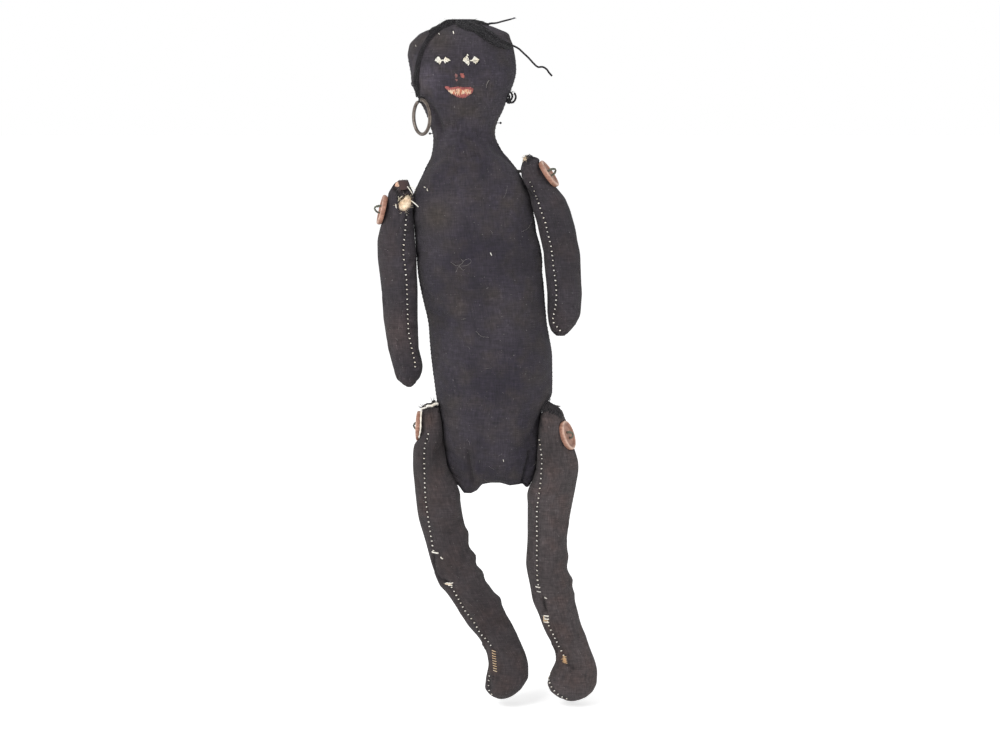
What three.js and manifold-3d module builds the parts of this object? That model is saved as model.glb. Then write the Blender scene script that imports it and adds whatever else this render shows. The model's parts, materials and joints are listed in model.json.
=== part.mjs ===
// A hand-sewn black cotton rag doll: body and head cut in one, arms and legs hung on strings
// that end in sew-through buttons, yarn hair and one brass ring earring.
// Millimetres, +Z up, face towards -Y. Left and right are the doll's own, so right is -X.
// The origin is the middle of the waist.
import * as THREE from 'three';
import { mergeVertices } from 'three/addons/utils/BufferGeometryUtils.js';
import Module from 'manifold-3d';

const wasm = await Module();
wasm.setup();

// Body, cut in one with the head
const bodyLength = 295;
const bodyBelowWaist = 105;
const bodyWidth = 76;
const bodyDepth = 48;
const clothThickness = 0.9;
const fitGap = 0.35;

// Right arm, which hangs lower and is torn open at the top
const rightHandAboveHip = 25.2;
const rightArmWidth = 24;
const rightArmDepth = 24;

// Left arm
const leftHandAboveHip = 62.5;
const leftArmWidth = 23;
const leftArmDepth = 23;

// Right leg
const rightLegReach = 175.5;
const rightLegWidth = 30;
const rightLegDepth = 30;

// Left leg
const leftLegReach = 173;
const leftLegWidth = 30;
const leftLegDepth = 30;

// How far each limb stands off the side of the body at its string
const limbGap = 0.6;

// How far a cutting solid runs past what it cuts
const cutOverrun = 4;

// Joint strings and the buttons they end in
const stringRadius = 0.9;
const boreGap = 0.5;
const stringInsideLimb = 7;
const stringTurnIn = 9;
const buttonRadius = 9.5;
const buttonThickness = 3;
const buttonBackBevel = 0.9;
const buttonRimWidth = 2.2;
const buttonDish = 1;
const buttonHoleRadius = 0.95;
const buttonHoleSpacing = 4.4;
const buttonThreadRadius = 0.5;
const buttonThreadRise = 2.6;
const buttonThreadDepth = 2.4;
const buttonSeatGap = 0.35;
const buttonEdgeRound = 0.6;
const buttonDentMargin = 0.8;
const loopWaistShare = 0.6;
const rightArmButtonDrop = 0.5;
const rightArmButtonTurnDegrees = 6;
const rightArmButtonTiltDegrees = 0;
const rightArmButtonSink = 0.7;
const leftArmButtonDrop = 2.5;
const leftArmButtonTurnDegrees = 10;
const leftArmButtonTiltDegrees = 0;
const leftArmButtonSink = 1.9;
const rightLegButtonDrop = 0.5;
const rightLegButtonTurnDegrees = -4;
const rightLegButtonTiltDegrees = -8;
const rightLegButtonSink = 2.3;
const leftLegButtonDrop = 0.5;
const leftLegButtonTurnDegrees = 20;
const leftLegButtonTiltDegrees = 3;
const leftLegButtonSink = 2.7;

// Sewing thread
const seamThreadRadius = 0.45;
const bodySeamThreadRadius = 0.4;
const seamThreadStop = 4;
const seamThreadLift = 0.25;

// Embroidered face, on the front of the head
const embroideryThickness = 0.7;
const faceUpShare = 0.918;
const faceAcrossShare = -0.2474;
const eyeSpacing = 18.1;
const eyeWidth = 10;
const eyeHeight = 6;
const nostrilSpacing = 3.8;
const nostrilWidth = 2;
const nostrilHeight = 3.4;
const noseBelowEyes = 9.7;
const mouthWidth = 18;
const mouthHeight = 8;
const mouthBelowEyes = 20;
const mouthOpeningExtra = 1.8;
const foreheadStitchWidth = 1.3;
const foreheadStitchHeight = 1.8;
const foreheadStitchAboveEyes = 17.2;
const foreheadStitchOffset = -2.4;

// Yarn hair, sewn flat to the head, with two loose ends
const hairThickness = 1.8;
const rightLockWidth = 3.4;
const leftLockWidth = 4.6;
const hairTailRadius = 0.65;
const crownTailRadius = 0.55;

// Earring, its yarn loop and the yarn loop at the other ear
const earringRadius = 10.6;
const earringWireRadius = 1.1;
const earringOpeningDegrees = 14;
const earringOpeningFromTopDegrees = -20;
const earringTurnDegrees = 60;
const earringTopUpShare = 0.8356;
const earringInFromEdge = 2.4;
const earringStandOff = 4.2;
const lockEndOutFromRing = 2.7;
const lockEndAboveRing = 3.1;
const earLoopYarnRadius = 0.5;
const leftEarLoopRadius = 2.4;
const leftEarUpShare = 0.8393;

// Black-headed pins at the sides of the neck
const pinHeadRadius = 0.8;
const pinShankRadius = 0.3;
const pinShankLength = 1.1;
const rightPinUpShare = 0.7637;
const leftPinUpShare = 0.7861;

// How finely the forms are cut
const bodySides = 16;
const limbSides = 10;
const bodyStuffingSides = 12;
const buttonSides = 20;
const holeSides = 8;
const threadSides = 5;
const stringSides = 6;
const stringSteps = 14;
const ringSides = 6;
const ringSteps = 26;
const loopSides = 12;
const tailSides = 8;
const tailSteps = 12;
const threadStepsPerPoint = 2;
const ribbonStepsPerPoint = 3;

// Limits on how far a drawn-in surface moves on a slope, and how thin it leaves a narrow end
const maxSlopeFactor = 2.2;
const leastHalfShare = 0.12;
const maxSeamSlope = 1.15;

// Body stations: height from the bottom seam over the length, left and right edges off the
// waist line over the width, half depth over the full depth.
const bodyShares = [
  [0.000, -0.22, 0.32, 0.03],
  [0.016, -0.29, 0.38, 0.15],
  [0.048, -0.34, 0.40, 0.29],
  [0.085, -0.36, 0.41, 0.37],
  [0.150, -0.39, 0.425, 0.44],
  [0.178, -0.41, 0.445, 0.46],
  [0.205, -0.43, 0.51, 0.475],
  [0.230, -0.44, 0.525, 0.485],
  [0.295, -0.475, 0.525, 0.50],
  [0.370, -0.50, 0.48, 0.48],
  [0.460, -0.57, 0.44, 0.48],
  [0.525, -0.593, 0.413, 0.49],
  [0.600, -0.617, 0.371, 0.47],
  [0.627, -0.61, 0.355, 0.45],
  [0.652, -0.583, 0.322, 0.425],
  [0.677, -0.534, 0.264, 0.39],
  [0.702, -0.484, 0.195, 0.35],
  [0.728, -0.451, 0.115, 0.315],
  [0.762, -0.445, 0.062, 0.30],
  [0.790, -0.485, 0.078, 0.32],
  [0.816, -0.53, 0.122, 0.36],
  [0.841, -0.58, 0.152, 0.40],
  [0.867, -0.625, 0.195, 0.43],
  [0.892, -0.63, 0.218, 0.45],
  [0.929, -0.65, 0.215, 0.45],
  [0.954, -0.63, 0.19, 0.40],
  [0.975, -0.54, 0.145, 0.30],
  [0.989, -0.42, 0.04, 0.17],
  [1.000, -0.33, -0.05, 0.05],
];
const bodyPinch = 1.1;

// How far up the body each limb's string goes through
const rightShoulderUpShare = 0.6034;
const leftShoulderUpShare = 0.68475;
const rightHipUpShare = 0.1383;
const leftHipUpShare = 0.122;

// Limb stations: distance below the string over the reach, outer and inner edges off the
// string's mouth over the width, front and back over the depth.
const rightArmShares = [
  [-0.163, 0.37, 0.11, 0.06, 0.12],
  [-0.130, 0.50, 0.08, 0.18, 0.22],
  [-0.096, 0.60, 0.03, 0.28, 0.30],
  [-0.062, 0.67, 0.00, 0.36, 0.35],
  [0.004, 0.73, -0.01, 0.43, 0.41],
  [0.071, 0.80, -0.02, 0.47, 0.44],
  [0.172, 0.91, -0.05, 0.50, 0.46],
  [0.273, 0.90, -0.09, 0.50, 0.46],
  [0.443, 0.80, -0.12, 0.48, 0.45],
  [0.612, 0.75, -0.11, 0.46, 0.42],
  [0.782, 0.63, -0.13, 0.42, 0.38],
  [0.885, 0.50, -0.21, 0.36, 0.34],
  [0.953, 0.42, -0.16, 0.27, 0.27],
  [0.987, 0.27, -0.05, 0.16, 0.16],
  [1.004, 0.16, 0.05, 0.05, 0.05],
];
const leftArmShares = [
  [-0.098, 0.39, 0.20, 0.06, 0.08],
  [-0.053, 0.63, 0.11, 0.24, 0.24],
  [-0.017, 0.69, 0.07, 0.33, 0.33],
  [0.019, 0.77, 0.095, 0.39, 0.38],
  [0.091, 0.99, 0.20, 0.45, 0.43],
  [0.164, 1.23, 0.31, 0.48, 0.46],
  [0.237, 1.37, 0.39, 0.50, 0.48],
  [0.346, 1.51, 0.53, 0.50, 0.48],
  [0.455, 1.59, 0.61, 0.50, 0.48],
  [0.528, 1.65, 0.67, 0.49, 0.47],
  [0.638, 1.67, 0.75, 0.48, 0.46],
  [0.748, 1.70, 0.80, 0.46, 0.44],
  [0.858, 1.65, 0.80, 0.42, 0.40],
  [0.931, 1.54, 0.84, 0.34, 0.33],
  [0.970, 1.42, 0.90, 0.24, 0.24],
  [1.000, 1.28, 1.04, 0.08, 0.08],
];
const rightLegShares = [
  [-0.085, 0.24, 0.06, 0.10, 0.14],
  [-0.062, 0.37, 0.04, 0.24, 0.26],
  [-0.040, 0.40, 0.02, 0.32, 0.33],
  [0.016, 0.42, -0.02, 0.41, 0.42],
  [0.046, 0.47, -0.04, 0.44, 0.45],
  [0.090, 0.57, -0.07, 0.47, 0.48],
  [0.156, 0.59, -0.13, 0.50, 0.50],
  [0.200, 0.57, -0.23, 0.50, 0.50],
  [0.244, 0.55, -0.38, 0.50, 0.49],
  [0.333, 0.49, -0.45, 0.50, 0.46],
  [0.420, 0.34, -0.57, 0.49, 0.43],
  [0.509, 0.20, -0.74, 0.49, 0.42],
  [0.555, 0.13, -0.89, 0.49, 0.42],
  [0.599, -0.06, -1.04, 0.48, 0.42],
  [0.644, -0.25, -1.23, 0.45, 0.41],
  [0.688, -0.40, -1.34, 0.43, 0.40],
  [0.734, -0.57, -1.49, 0.42, 0.38],
  [0.780, -0.80, -1.62, 0.41, 0.36],
  [0.842, -0.97, -1.79, 0.46, 0.36],
  [0.878, -1.01, -1.85, 0.56, 0.37],
  [0.928, -0.95, -1.85, 0.66, 0.36],
  [0.966, -0.93, -1.70, 0.62, 0.30],
  [0.986, -1.02, -1.54, 0.46, 0.18],
  [0.998, -1.16, -1.36, 0.24, 0.02],
];
const leftLegShares = [
  [-0.113, 0.45, 0.20, 0.08, 0.14],
  [-0.092, 0.52, 0.12, 0.20, 0.24],
  [-0.070, 0.52, 0.08, 0.28, 0.30],
  [-0.011, 0.62, 0.03, 0.40, 0.41],
  [0.063, 0.74, -0.01, 0.46, 0.46],
  [0.130, 0.82, -0.03, 0.49, 0.49],
  [0.175, 0.80, -0.09, 0.50, 0.50],
  [0.220, 0.75, -0.24, 0.50, 0.50],
  [0.309, 0.65, -0.24, 0.49, 0.47],
  [0.400, 0.59, -0.24, 0.48, 0.44],
  [0.490, 0.61, -0.28, 0.49, 0.43],
  [0.580, 0.70, -0.17, 0.48, 0.43],
  [0.626, 0.76, -0.13, 0.46, 0.42],
  [0.672, 0.83, 0.00, 0.44, 0.41],
  [0.717, 0.89, 0.08, 0.42, 0.40],
  [0.763, 1.00, 0.21, 0.40, 0.39],
  [0.808, 1.09, 0.34, 0.40, 0.38],
  [0.853, 1.20, 0.38, 0.46, 0.38],
  [0.885, 1.25, 0.28, 0.56, 0.38],
  [0.935, 1.24, 0.18, 0.66, 0.36],
  [0.963, 1.16, 0.25, 0.60, 0.28],
  [0.984, 1.02, 0.40, 0.46, 0.16],
  [0.998, 0.84, 0.56, 0.26, 0.00],
];

// Whip-stitched seams: distance below the string over the reach, and how far round the front
// from the outer edge (+1) to the inner edge (-1).
const rightArmSeamShares = [
  [0.05, -0.62], [0.12, -0.46], [0.24, -0.36], [0.36, -0.40], [0.50, -0.46], [0.66, -0.44],
  [0.80, -0.52], [0.90, -0.56], [0.95, -0.30],
];
const leftArmSeamShares = [
  [0.19, -0.66], [0.27, -0.58], [0.36, -0.50], [0.46, -0.46], [0.58, -0.50], [0.70, -0.48],
  [0.82, -0.56], [0.90, -0.66], [0.95, -0.40],
];
const rightLegSeamShares = [
  [0.05, 0.16], [0.10, 0.29], [0.18, 0.36], [0.27, 0.52], [0.36, 0.58], [0.45, 0.66],
  [0.54, 0.66], [0.61, 0.66], [0.69, 0.72], [0.77, 0.80], [0.84, 0.70], [0.89, 0.70],
  [0.94, 0.76],
];
const leftLegSeamShares = [
  [0.10, -0.76], [0.17, -0.66], [0.24, -0.52], [0.34, -0.49], [0.44, -0.48], [0.54, -0.47],
  [0.62, -0.34], [0.69, -0.56], [0.76, -0.66], [0.83, -0.62], [0.89, -0.84], [0.94, -0.84],
];

// The tear in the front of the right arm: across over the width, up over the reach.
const rightArmTearShares = [
  [0.44, 0.062], [0.30, 0.100], [0.22, 0.175], [-0.06, 0.175], [-0.06, 0.030], [0.10, -0.020],
  [0.26, 0.000], [0.40, 0.020],
];

// Outlines of the embroidery, over its own width and height
const eyeShares = [
  [-0.50, 0.02], [-0.30, 0.16], [-0.18, 0.50], [-0.13, 0.08], [0.02, 0.14], [0.16, 0.08],
  [0.20, 0.46], [0.50, 0.00], [0.24, -0.42], [0.16, -0.10], [0.02, -0.12], [-0.12, -0.08],
  [-0.10, -0.50], [-0.28, -0.20],
];
const lipsShares = [
  [-0.50, 0.50], [-0.20, 0.38], [0.16, 0.42], [0.40, 0.30], [0.50, 0.10], [0.42, -0.20],
  [0.26, -0.44], [0.04, -0.50], [-0.18, -0.34], [-0.36, 0.02],
];
const teethShares = [
  [-0.32, 0.20], [-0.10, 0.18], [0.14, 0.22], [0.36, 0.12], [0.34, -0.14], [0.12, -0.14],
  [-0.10, -0.12], [-0.26, -0.02],
];
const diamondShares = [[0.5, 0], [0.3, 0.5], [-0.3, 0.5], [-0.5, 0], [-0.3, -0.5], [0.3, -0.5]];

// Hair laid on the head. The right lock runs from the parting to the ring: across and down over
// the way between the two. The left lock is off the waist line over the body width, and up over
// the body length, as the parting is.
const partingShares = [-0.300, 0.984];
const rightLockShares = [
  [0, 0], [0.364, 0.080], [0.618, 0.246], [0.836, 0.427], [0.967, 0.646], [1.036, 0.841], [1, 1],
];
const leftLockShares = [
  [-0.230, 0.985], [-0.130, 0.975], [-0.020, 0.955], [0.080, 0.940], [0.140, 0.938],
];

// The two loose yarn ends: where each leaves the head, and its route from there
const hairTailRoute = [
  [0, 0, 0], [3.2, -0.8, -1.7], [6.4, -1.4, -4.6], [9.6, -1.6, -7.6], [12.6, -1.5, -10.9],
  [15.2, -1.2, -13.0], [18.2, -1.0, -13.0], [20.6, -1.2, -14.4], [22.2, -1.6, -16.6],
  [24.0, -2.0, -18.6],
];
const hairTailUpShare = 0.9478;
const crownTailRoute = [
  [0, 0, 0], [3.6, -0.4, 0.3], [7.4, -0.6, 1.3], [11.0, -0.4, 2.2], [14.4, 0, 3.1],
];
const crownTailLeavesShares = [0.021, 0.9925];

// Colours
const looks = {
  bodyCloth: { color: 0x46404a, roughness: 0.92, metalness: 0 },
  limbCloth: { color: 0x4b4345, roughness: 0.94, metalness: 0 },
  stuffing: { color: 0xd9c6a0, roughness: 1, metalness: 0 },
  creamThread: { color: 0xe2d3b6, roughness: 0.8, metalness: 0 },
  blackThread: { color: 0x1d1b20, roughness: 0.85, metalness: 0 },
  twine: { color: 0x6f7468, roughness: 0.9, metalness: 0 },
  button: { color: 0xa27a68, roughness: 0.5, metalness: 0 },
  whiteThread: { color: 0xf0ead8, roughness: 0.7, metalness: 0 },
  redThread: { color: 0xb0594f, roughness: 0.75, metalness: 0 },
  teethThread: { color: 0xe6c99b, roughness: 0.75, metalness: 0 },
  yarn: { color: 0x16151b, roughness: 0.9, metalness: 0 },
  brass: { color: 0x8c857a, roughness: 0.45, metalness: 0.9 },
  pin: { color: 0x121214, roughness: 0.3, metalness: 0 },
};

const doll = new THREE.Group();

// Adds one named piece, given as a solid in the frame of its group.
function addPiece(name, solid, look, group = doll) {
  const mesh = new THREE.Mesh(geometryOf(solid), new THREE.MeshStandardMaterial(looks[look]));
  mesh.name = name;
  group.add(mesh);
}

// A solid from a closed geometry, with its shared vertices merged and its faces turned out.
function solidOf(geometry) {
  const bare = geometry.clone();
  bare.deleteAttribute('normal');
  bare.deleteAttribute('uv');
  const merged = mergeVertices(bare);
  const vertProperties = new Float32Array(merged.attributes.position.array);
  const triVerts = new Uint32Array(merged.index.array);
  if (signedVolume(vertProperties, triVerts) < 0) {
    for (let i = 0; i < triVerts.length; i += 3) {
      const second = triVerts[i + 1];
      triVerts[i + 1] = triVerts[i + 2];
      triVerts[i + 2] = second;
    }
  }
  return new wasm.Manifold(new wasm.Mesh({ numProp: 3, vertProperties, triVerts }));
}

function signedVolume(vertices, triangles) {
  const corner = (i) => new THREE.Vector3().fromArray(vertices, 3 * triangles[i]);
  let volume = 0;
  for (let i = 0; i < triangles.length; i += 3) {
    volume += corner(i).dot(corner(i + 1).cross(corner(i + 2)));
  }
  return volume;
}

function geometryOf(solid) {
  const mesh = solid.getMesh();
  const geometry = new THREE.BufferGeometry();
  geometry.setAttribute('position', new THREE.BufferAttribute(mesh.vertProperties, 3));
  geometry.setIndex(new THREE.BufferAttribute(mesh.triVerts, 1));
  geometry.computeVertexNormals();
  return geometry;
}

// A closed form through level rings. Each station has its height z, left and right edges and
// front and back; pinch above 1 draws the sides in towards the edges.
function loft(stations, sides, pinch = 1) {
  const positions = [];
  const index = [];
  for (const s of stations) {
    for (let i = 0; i < sides; i += 1) {
      const angle = (2 * Math.PI * i) / sides;
      const out = Math.sign(Math.sin(angle)) * Math.abs(Math.sin(angle)) ** pinch;
      const x = (s.left + s.right) / 2 + ((s.right - s.left) / 2) * Math.cos(angle);
      const y = (s.front + s.back) / 2 + ((s.back - s.front) / 2) * out;
      positions.push(x, y, s.z);
    }
  }
  const ring = (j, i) => j * sides + (i % sides);
  for (let j = 0; j + 1 < stations.length; j += 1) {
    for (let i = 0; i < sides; i += 1) {
      index.push(ring(j, i), ring(j, i + 1), ring(j + 1, i + 1));
      index.push(ring(j, i), ring(j + 1, i + 1), ring(j + 1, i));
    }
  }
  const last = stations.length - 1;
  for (let i = 1; i + 1 < sides; i += 1) {
    index.push(ring(0, 0), ring(0, i + 1), ring(0, i));
    index.push(ring(last, 0), ring(last, i), ring(last, i + 1));
  }
  const geometry = new THREE.BufferGeometry();
  geometry.setAttribute('position', new THREE.Float32BufferAttribute(positions, 3));
  geometry.setIndex(index);
  return solidOf(geometry);
}

// The same stations drawn in by a depth square to the surface, or grown where it is negative.
function inset(stations, depth) {
  const slope = (j, edge) => {
    const below = stations[Math.max(j - 1, 0)];
    const above = stations[Math.min(j + 1, stations.length - 1)];
    return (above[edge] - below[edge]) / (above.z - below.z);
  };
  const drawIn = (j, edge) => depth * Math.min(Math.hypot(1, slope(j, edge)), maxSlopeFactor);
  return stations.map((s, j) => {
    const ends = { z: s.z };
    if (j === 0) ends.z += depth;
    if (j === stations.length - 1) ends.z -= depth;
    const middleX = (s.left + s.right) / 2;
    const middleY = (s.front + s.back) / 2;
    ends.left = Math.min(s.left + drawIn(j, 'left'), middleX - leastHalf(s, 'left', 'right'));
    ends.right = Math.max(s.right - drawIn(j, 'right'), middleX + leastHalf(s, 'left', 'right'));
    ends.front = Math.min(s.front + drawIn(j, 'front'), middleY - leastHalf(s, 'front', 'back'));
    ends.back = Math.max(s.back - drawIn(j, 'back'), middleY + leastHalf(s, 'front', 'back'));
    return ends;
  });
}

// The least half size that an inset leaves at a narrow end.
function leastHalf(station, low, high) {
  return (station[high] - station[low]) * leastHalfShare;
}

// The station at height z, between the two nearest.
function stationAt(stations, z) {
  const rising = stations[1].z > stations[0].z ? stations : [...stations].reverse();
  const found = rising.findIndex((s) => s.z >= z);
  const upper = Math.max(1, found < 0 ? rising.length - 1 : found);
  const low = rising[upper - 1];
  const high = rising[upper];
  const share = THREE.MathUtils.clamp((z - low.z) / (high.z - low.z), 0, 1);
  const between = (key) => low[key] + (high[key] - low[key]) * share;
  return {
    z,
    left: between('left'),
    right: between('right'),
    front: between('front'),
    back: between('back'),
  };
}

// The front of a form at x and height z.
function frontAt(stations, x, z, pinch = 1) {
  const s = stationAt(stations, z);
  const across = (x - (s.left + s.right) / 2) / ((s.right - s.left) / 2);
  const out = Math.sqrt(Math.max(0, 1 - across * across)) ** pinch;
  return (s.front + s.back) / 2 - ((s.back - s.front) / 2) * out;
}

// A tube of even thickness along a curve.
function tube(curve, radius, sides, steps) {
  const section = new THREE.Shape();
  for (let i = 0; i < sides; i += 1) {
    const angle = (2 * Math.PI * i) / sides;
    const point = [radius * Math.cos(angle), radius * Math.sin(angle)];
    if (i === 0) section.moveTo(...point);
    else section.lineTo(...point);
  }
  section.closePath();
  return solidOf(new THREE.ExtrudeGeometry(section, { steps, extrudePath: curve }));
}

// A sewing thread along a curve through a number of points.
function threadAlong(curve, radius, points) {
  return tube(curve, radius, threadSides, threadStepsPerPoint * points);
}

function curveThrough(points) {
  return new THREE.CatmullRomCurve3(points.map((p) => new THREE.Vector3(...p)), false, 'centripetal');
}

// A round bar along X.
function barX(radius, fromX, toX, y, z, sides) {
  const geometry = new THREE.CylinderGeometry(radius, radius, Math.abs(toX - fromX), sides);
  geometry.rotateZ(Math.PI / 2);
  geometry.translate((fromX + toX) / 2, y, z);
  return solidOf(geometry);
}

function block(low, high) {
  const geometry = new THREE.BoxGeometry(high[0] - low[0], high[1] - low[1], high[2] - low[2]);
  geometry.translate((low[0] + high[0]) / 2, (low[1] + high[1]) / 2, (low[2] + high[2]) / 2);
  return solidOf(geometry);
}

// An outline in x and height, cut through everything from y = 0 to the front.
function frontCutter(points, depth) {
  const shape = new THREE.Shape(points.map(([x, z]) => new THREE.Vector2(x, z)));
  const geometry = new THREE.ExtrudeGeometry(shape, { depth, bevelEnabled: false });
  geometry.rotateX(Math.PI / 2);
  return solidOf(geometry);
}

// Body
const bodyStations = bodyShares.map(([up, left, right, halfDepth]) => ({
  z: bodyHeight(up),
  left: left * bodyWidth,
  right: right * bodyWidth,
  front: -halfDepth * bodyDepth,
  back: halfDepth * bodyDepth,
}));
const bodySolid = loft(bodyStations, bodySides, bodyPinch);
const bodyLining = loft(inset(bodyStations, clothThickness), bodySides, bodyPinch);

// A height on the body, and a point of it in x and height, from their shares.
function bodyHeight(up) {
  return up * bodyLength - bodyBelowWaist;
}

function onBody([across, up]) {
  return [across * bodyWidth, bodyHeight(up)];
}

const rightShoulder = stringMouth(-1, bodyHeight(rightShoulderUpShare));
const leftShoulder = stringMouth(1, bodyHeight(leftShoulderUpShare));
const rightHip = stringMouth(-1, bodyHeight(rightHipUpShare));
const leftHip = stringMouth(1, bodyHeight(leftHipUpShare));
const rightArmReach = rightShoulder.z - rightHip.z - rightHandAboveHip;
const leftArmReach = leftShoulder.z - leftHip.z - leftHandAboveHip;

// Where a joint string leaves the side of the body, at the limb's inner face.
function stringMouth(side, height) {
  const s = stationAt(bodyStations, height);
  const edge = side < 0 ? s.left - limbGap : s.right + limbGap;
  return new THREE.Vector3(edge, 0, height);
}

// A string from inside one limb, straight through the side of the body, across the stuffing
// and out to the other limb.
function stringPath(rightMouth, leftMouth, insideRight, insideLeft) {
  const path = new THREE.CurvePath();
  const rightEnd = rightMouth.clone().setX(rightMouth.x - insideRight);
  const leftEnd = leftMouth.clone().setX(leftMouth.x + insideLeft);
  const rightTurn = rightMouth.clone().setX(rightMouth.x + stringTurnIn);
  const leftTurn = leftMouth.clone().setX(leftMouth.x - stringTurnIn);
  const rightPull = rightTurn.clone().setX(rightTurn.x + stringTurnIn);
  const leftPull = leftTurn.clone().setX(leftTurn.x - stringTurnIn);
  path.add(new THREE.LineCurve3(rightEnd, rightTurn));
  path.add(new THREE.CubicBezierCurve3(rightTurn, rightPull, leftPull, leftTurn));
  path.add(new THREE.LineCurve3(leftTurn, leftEnd));
  return path;
}

const shoulderPath = stringPath(rightShoulder, leftShoulder, stringInsideLimb, stringInsideLimb);
const hipPath = stringPath(rightHip, leftHip, stringInsideLimb, stringInsideLimb);

function bodyPieces() {
  const boreRadius = stringRadius + boreGap;
  const bores = tube(shoulderPath, boreRadius, stringSides, stringSteps)
    .add(tube(hipPath, boreRadius, stringSides, stringSteps));
  const shell = bodySolid.subtract(bodyLining).subtract(bores);
  const reach = bodyWidth + bodyDepth;
  const frontHalf = block([-reach, -reach, -bodyLength], [reach, -fitGap / 2, bodyLength]);
  const backHalf = block([-reach, fitGap / 2, -bodyLength], [reach, reach, bodyLength]);
  addPiece('body_front_cloth', shell.intersect(frontHalf), 'bodyCloth');
  addPiece('body_back_cloth', shell.intersect(backHalf), 'bodyCloth');

  const seamRoom = clothThickness + fitGap + 2 * bodySeamThreadRadius + fitGap;
  const seamEdge = inset(bodyStations, clothThickness + fitGap + bodySeamThreadRadius);
  const packed = inset(bodyStations, clothThickness + 2 * fitGap).map((s, j) => ({
    ...s,
    left: Math.max(s.left, bodyStations[j].left + seamRoom * maxSeamSlope),
    right: Math.min(s.right, bodyStations[j].right - seamRoom * maxSeamSlope),
  }));
  addPiece('body_stuffing', loft(packed, bodyStuffingSides, bodyPinch).subtract(bores), 'stuffing');

  for (const [name, edge, hip, shoulder] of [
    ['body_seam_thread_right', 'left', rightHip, rightShoulder],
    ['body_seam_thread_left', 'right', leftHip, leftShoulder],
  ]) {
    const low = hip.z + seamThreadStop;
    const high = shoulder.z - seamThreadStop;
    const between = seamEdge.filter((s) => s.z > low && s.z < high);
    const path = curveThrough(between.map((s) => [s[edge], 0, s.z]));
    const thread = threadAlong(path, bodySeamThreadRadius, between.length);
    addPiece(name, thread, 'blackThread');
  }

  addPiece('shoulder_string', tube(shoulderPath, stringRadius, stringSides, stringSteps), 'twine');
  addPiece('hip_string', tube(hipPath, stringRadius, stringSides, stringSteps), 'twine');
}

// A patch that follows the head: an outline on the front, as thick as its thread or yarn.
function patch(points, thickness, lift = fitGap) {
  const cutter = frontCutter(points, bodyDepth);
  const outside = loft(inset(bodyStations, -(lift + thickness)), bodySides, bodyPinch);
  const inside = loft(inset(bodyStations, -lift), bodySides, bodyPinch);
  return cutter.intersect(outside.subtract(inside));
}

function placed(shares, width, height, x, z) {
  return shares.map(([across, up]) => [x + across * width, z + up * height]);
}

function facePieces() {
  const [faceX, eyesZ] = onBody([faceAcrossShare, faceUpShare]);
  const noseZ = eyesZ - noseBelowEyes;
  const mouthZ = eyesZ - mouthBelowEyes;
  for (const [name, side] of [['right', -1], ['left', 1]]) {
    const eye = placed(eyeShares, eyeWidth, eyeHeight, faceX + (side * eyeSpacing) / 2, eyesZ);
    addPiece(`eye_${name}`, patch(eye, embroideryThickness), 'whiteThread');
    const x = faceX + (side * nostrilSpacing) / 2;
    const nostril = placed(diamondShares, nostrilWidth, nostrilHeight, x, noseZ);
    addPiece(`nose_stitch_${name}`, patch(nostril, embroideryThickness), 'redThread');
  }
  const openingWidth = mouthWidth + mouthOpeningExtra;
  const openingHeight = mouthHeight + mouthOpeningExtra;
  const teeth = placed(teethShares, mouthWidth, mouthHeight, faceX, mouthZ);
  const opening = placed(teethShares, openingWidth, openingHeight, faceX, mouthZ);
  const lips = placed(lipsShares, mouthWidth, mouthHeight, faceX, mouthZ);
  addPiece('mouth_teeth', patch(teeth, embroideryThickness), 'teethThread');
  const lipsRing = patch(lips, embroideryThickness).subtract(frontCutter(opening, bodyDepth));
  addPiece('mouth_lips', lipsRing, 'redThread');
  const stitch = placed(diamondShares, foreheadStitchWidth, foreheadStitchHeight,
    faceX + foreheadStitchOffset, eyesZ + foreheadStitchAboveEyes);
  addPiece('forehead_stitch', patch(stitch, embroideryThickness), 'whiteThread');
}

// The outline of a ribbon of even width along a path of [x, z] points.
function ribbon(points, width) {
  const curve = new THREE.SplineCurve(points.map(([x, z]) => new THREE.Vector2(x, z)));
  const steps = ribbonStepsPerPoint * points.length;
  const leftSide = [];
  const rightSide = [];
  for (let i = 0; i <= steps; i += 1) {
    const at = curve.getPoint(i / steps);
    const along = curve.getTangent(i / steps);
    leftSide.push([at.x - (along.y * width) / 2, at.y + (along.x * width) / 2]);
    rightSide.unshift([at.x + (along.y * width) / 2, at.y - (along.x * width) / 2]);
  }
  return [...leftSide, ...rightSide];
}

function hairPieces() {
  const [partingX, partingZ] = onBody(partingShares);
  const wayX = earringTop.x - lockEndOutFromRing - partingX;
  const wayZ = earringTop.z + lockEndAboveRing - partingZ;
  const rightPath = rightLockShares.map(([across, down]) => [
    partingX + across * wayX,
    partingZ + down * wayZ,
  ]);
  const rightLock = ribbon(rightPath, rightLockWidth);
  const leftLock = ribbon(leftLockShares.map(onBody), leftLockWidth);
  addPiece('hair_lock_right', patch(rightLock, hairThickness), 'yarn');
  addPiece('hair_lock_left', patch(leftLock, hairThickness), 'yarn');
  const tailZ = bodyHeight(hairTailUpShare);
  const sideOfHead = stationAt(bodyStations, tailZ).right + fitGap + hairTailRadius;
  addTail('hair_tail_left', hairTailRoute, [sideOfHead, 0, tailZ], hairTailRadius);
  const [crownX, crownZ] = onBody(crownTailLeavesShares);
  const crownLeaves = [crownX, 0, crownZ + crownTailRadius];
  addTail('hair_tail_crown', crownTailRoute, crownLeaves, crownTailRadius);
}

function addTail(name, route, leaves, radius) {
  const path = curveThrough(route.map((p) => p.map((value, axis) => value + leaves[axis])));
  addPiece(name, tube(path, radius, tailSides, tailSteps), 'yarn');
}

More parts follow.
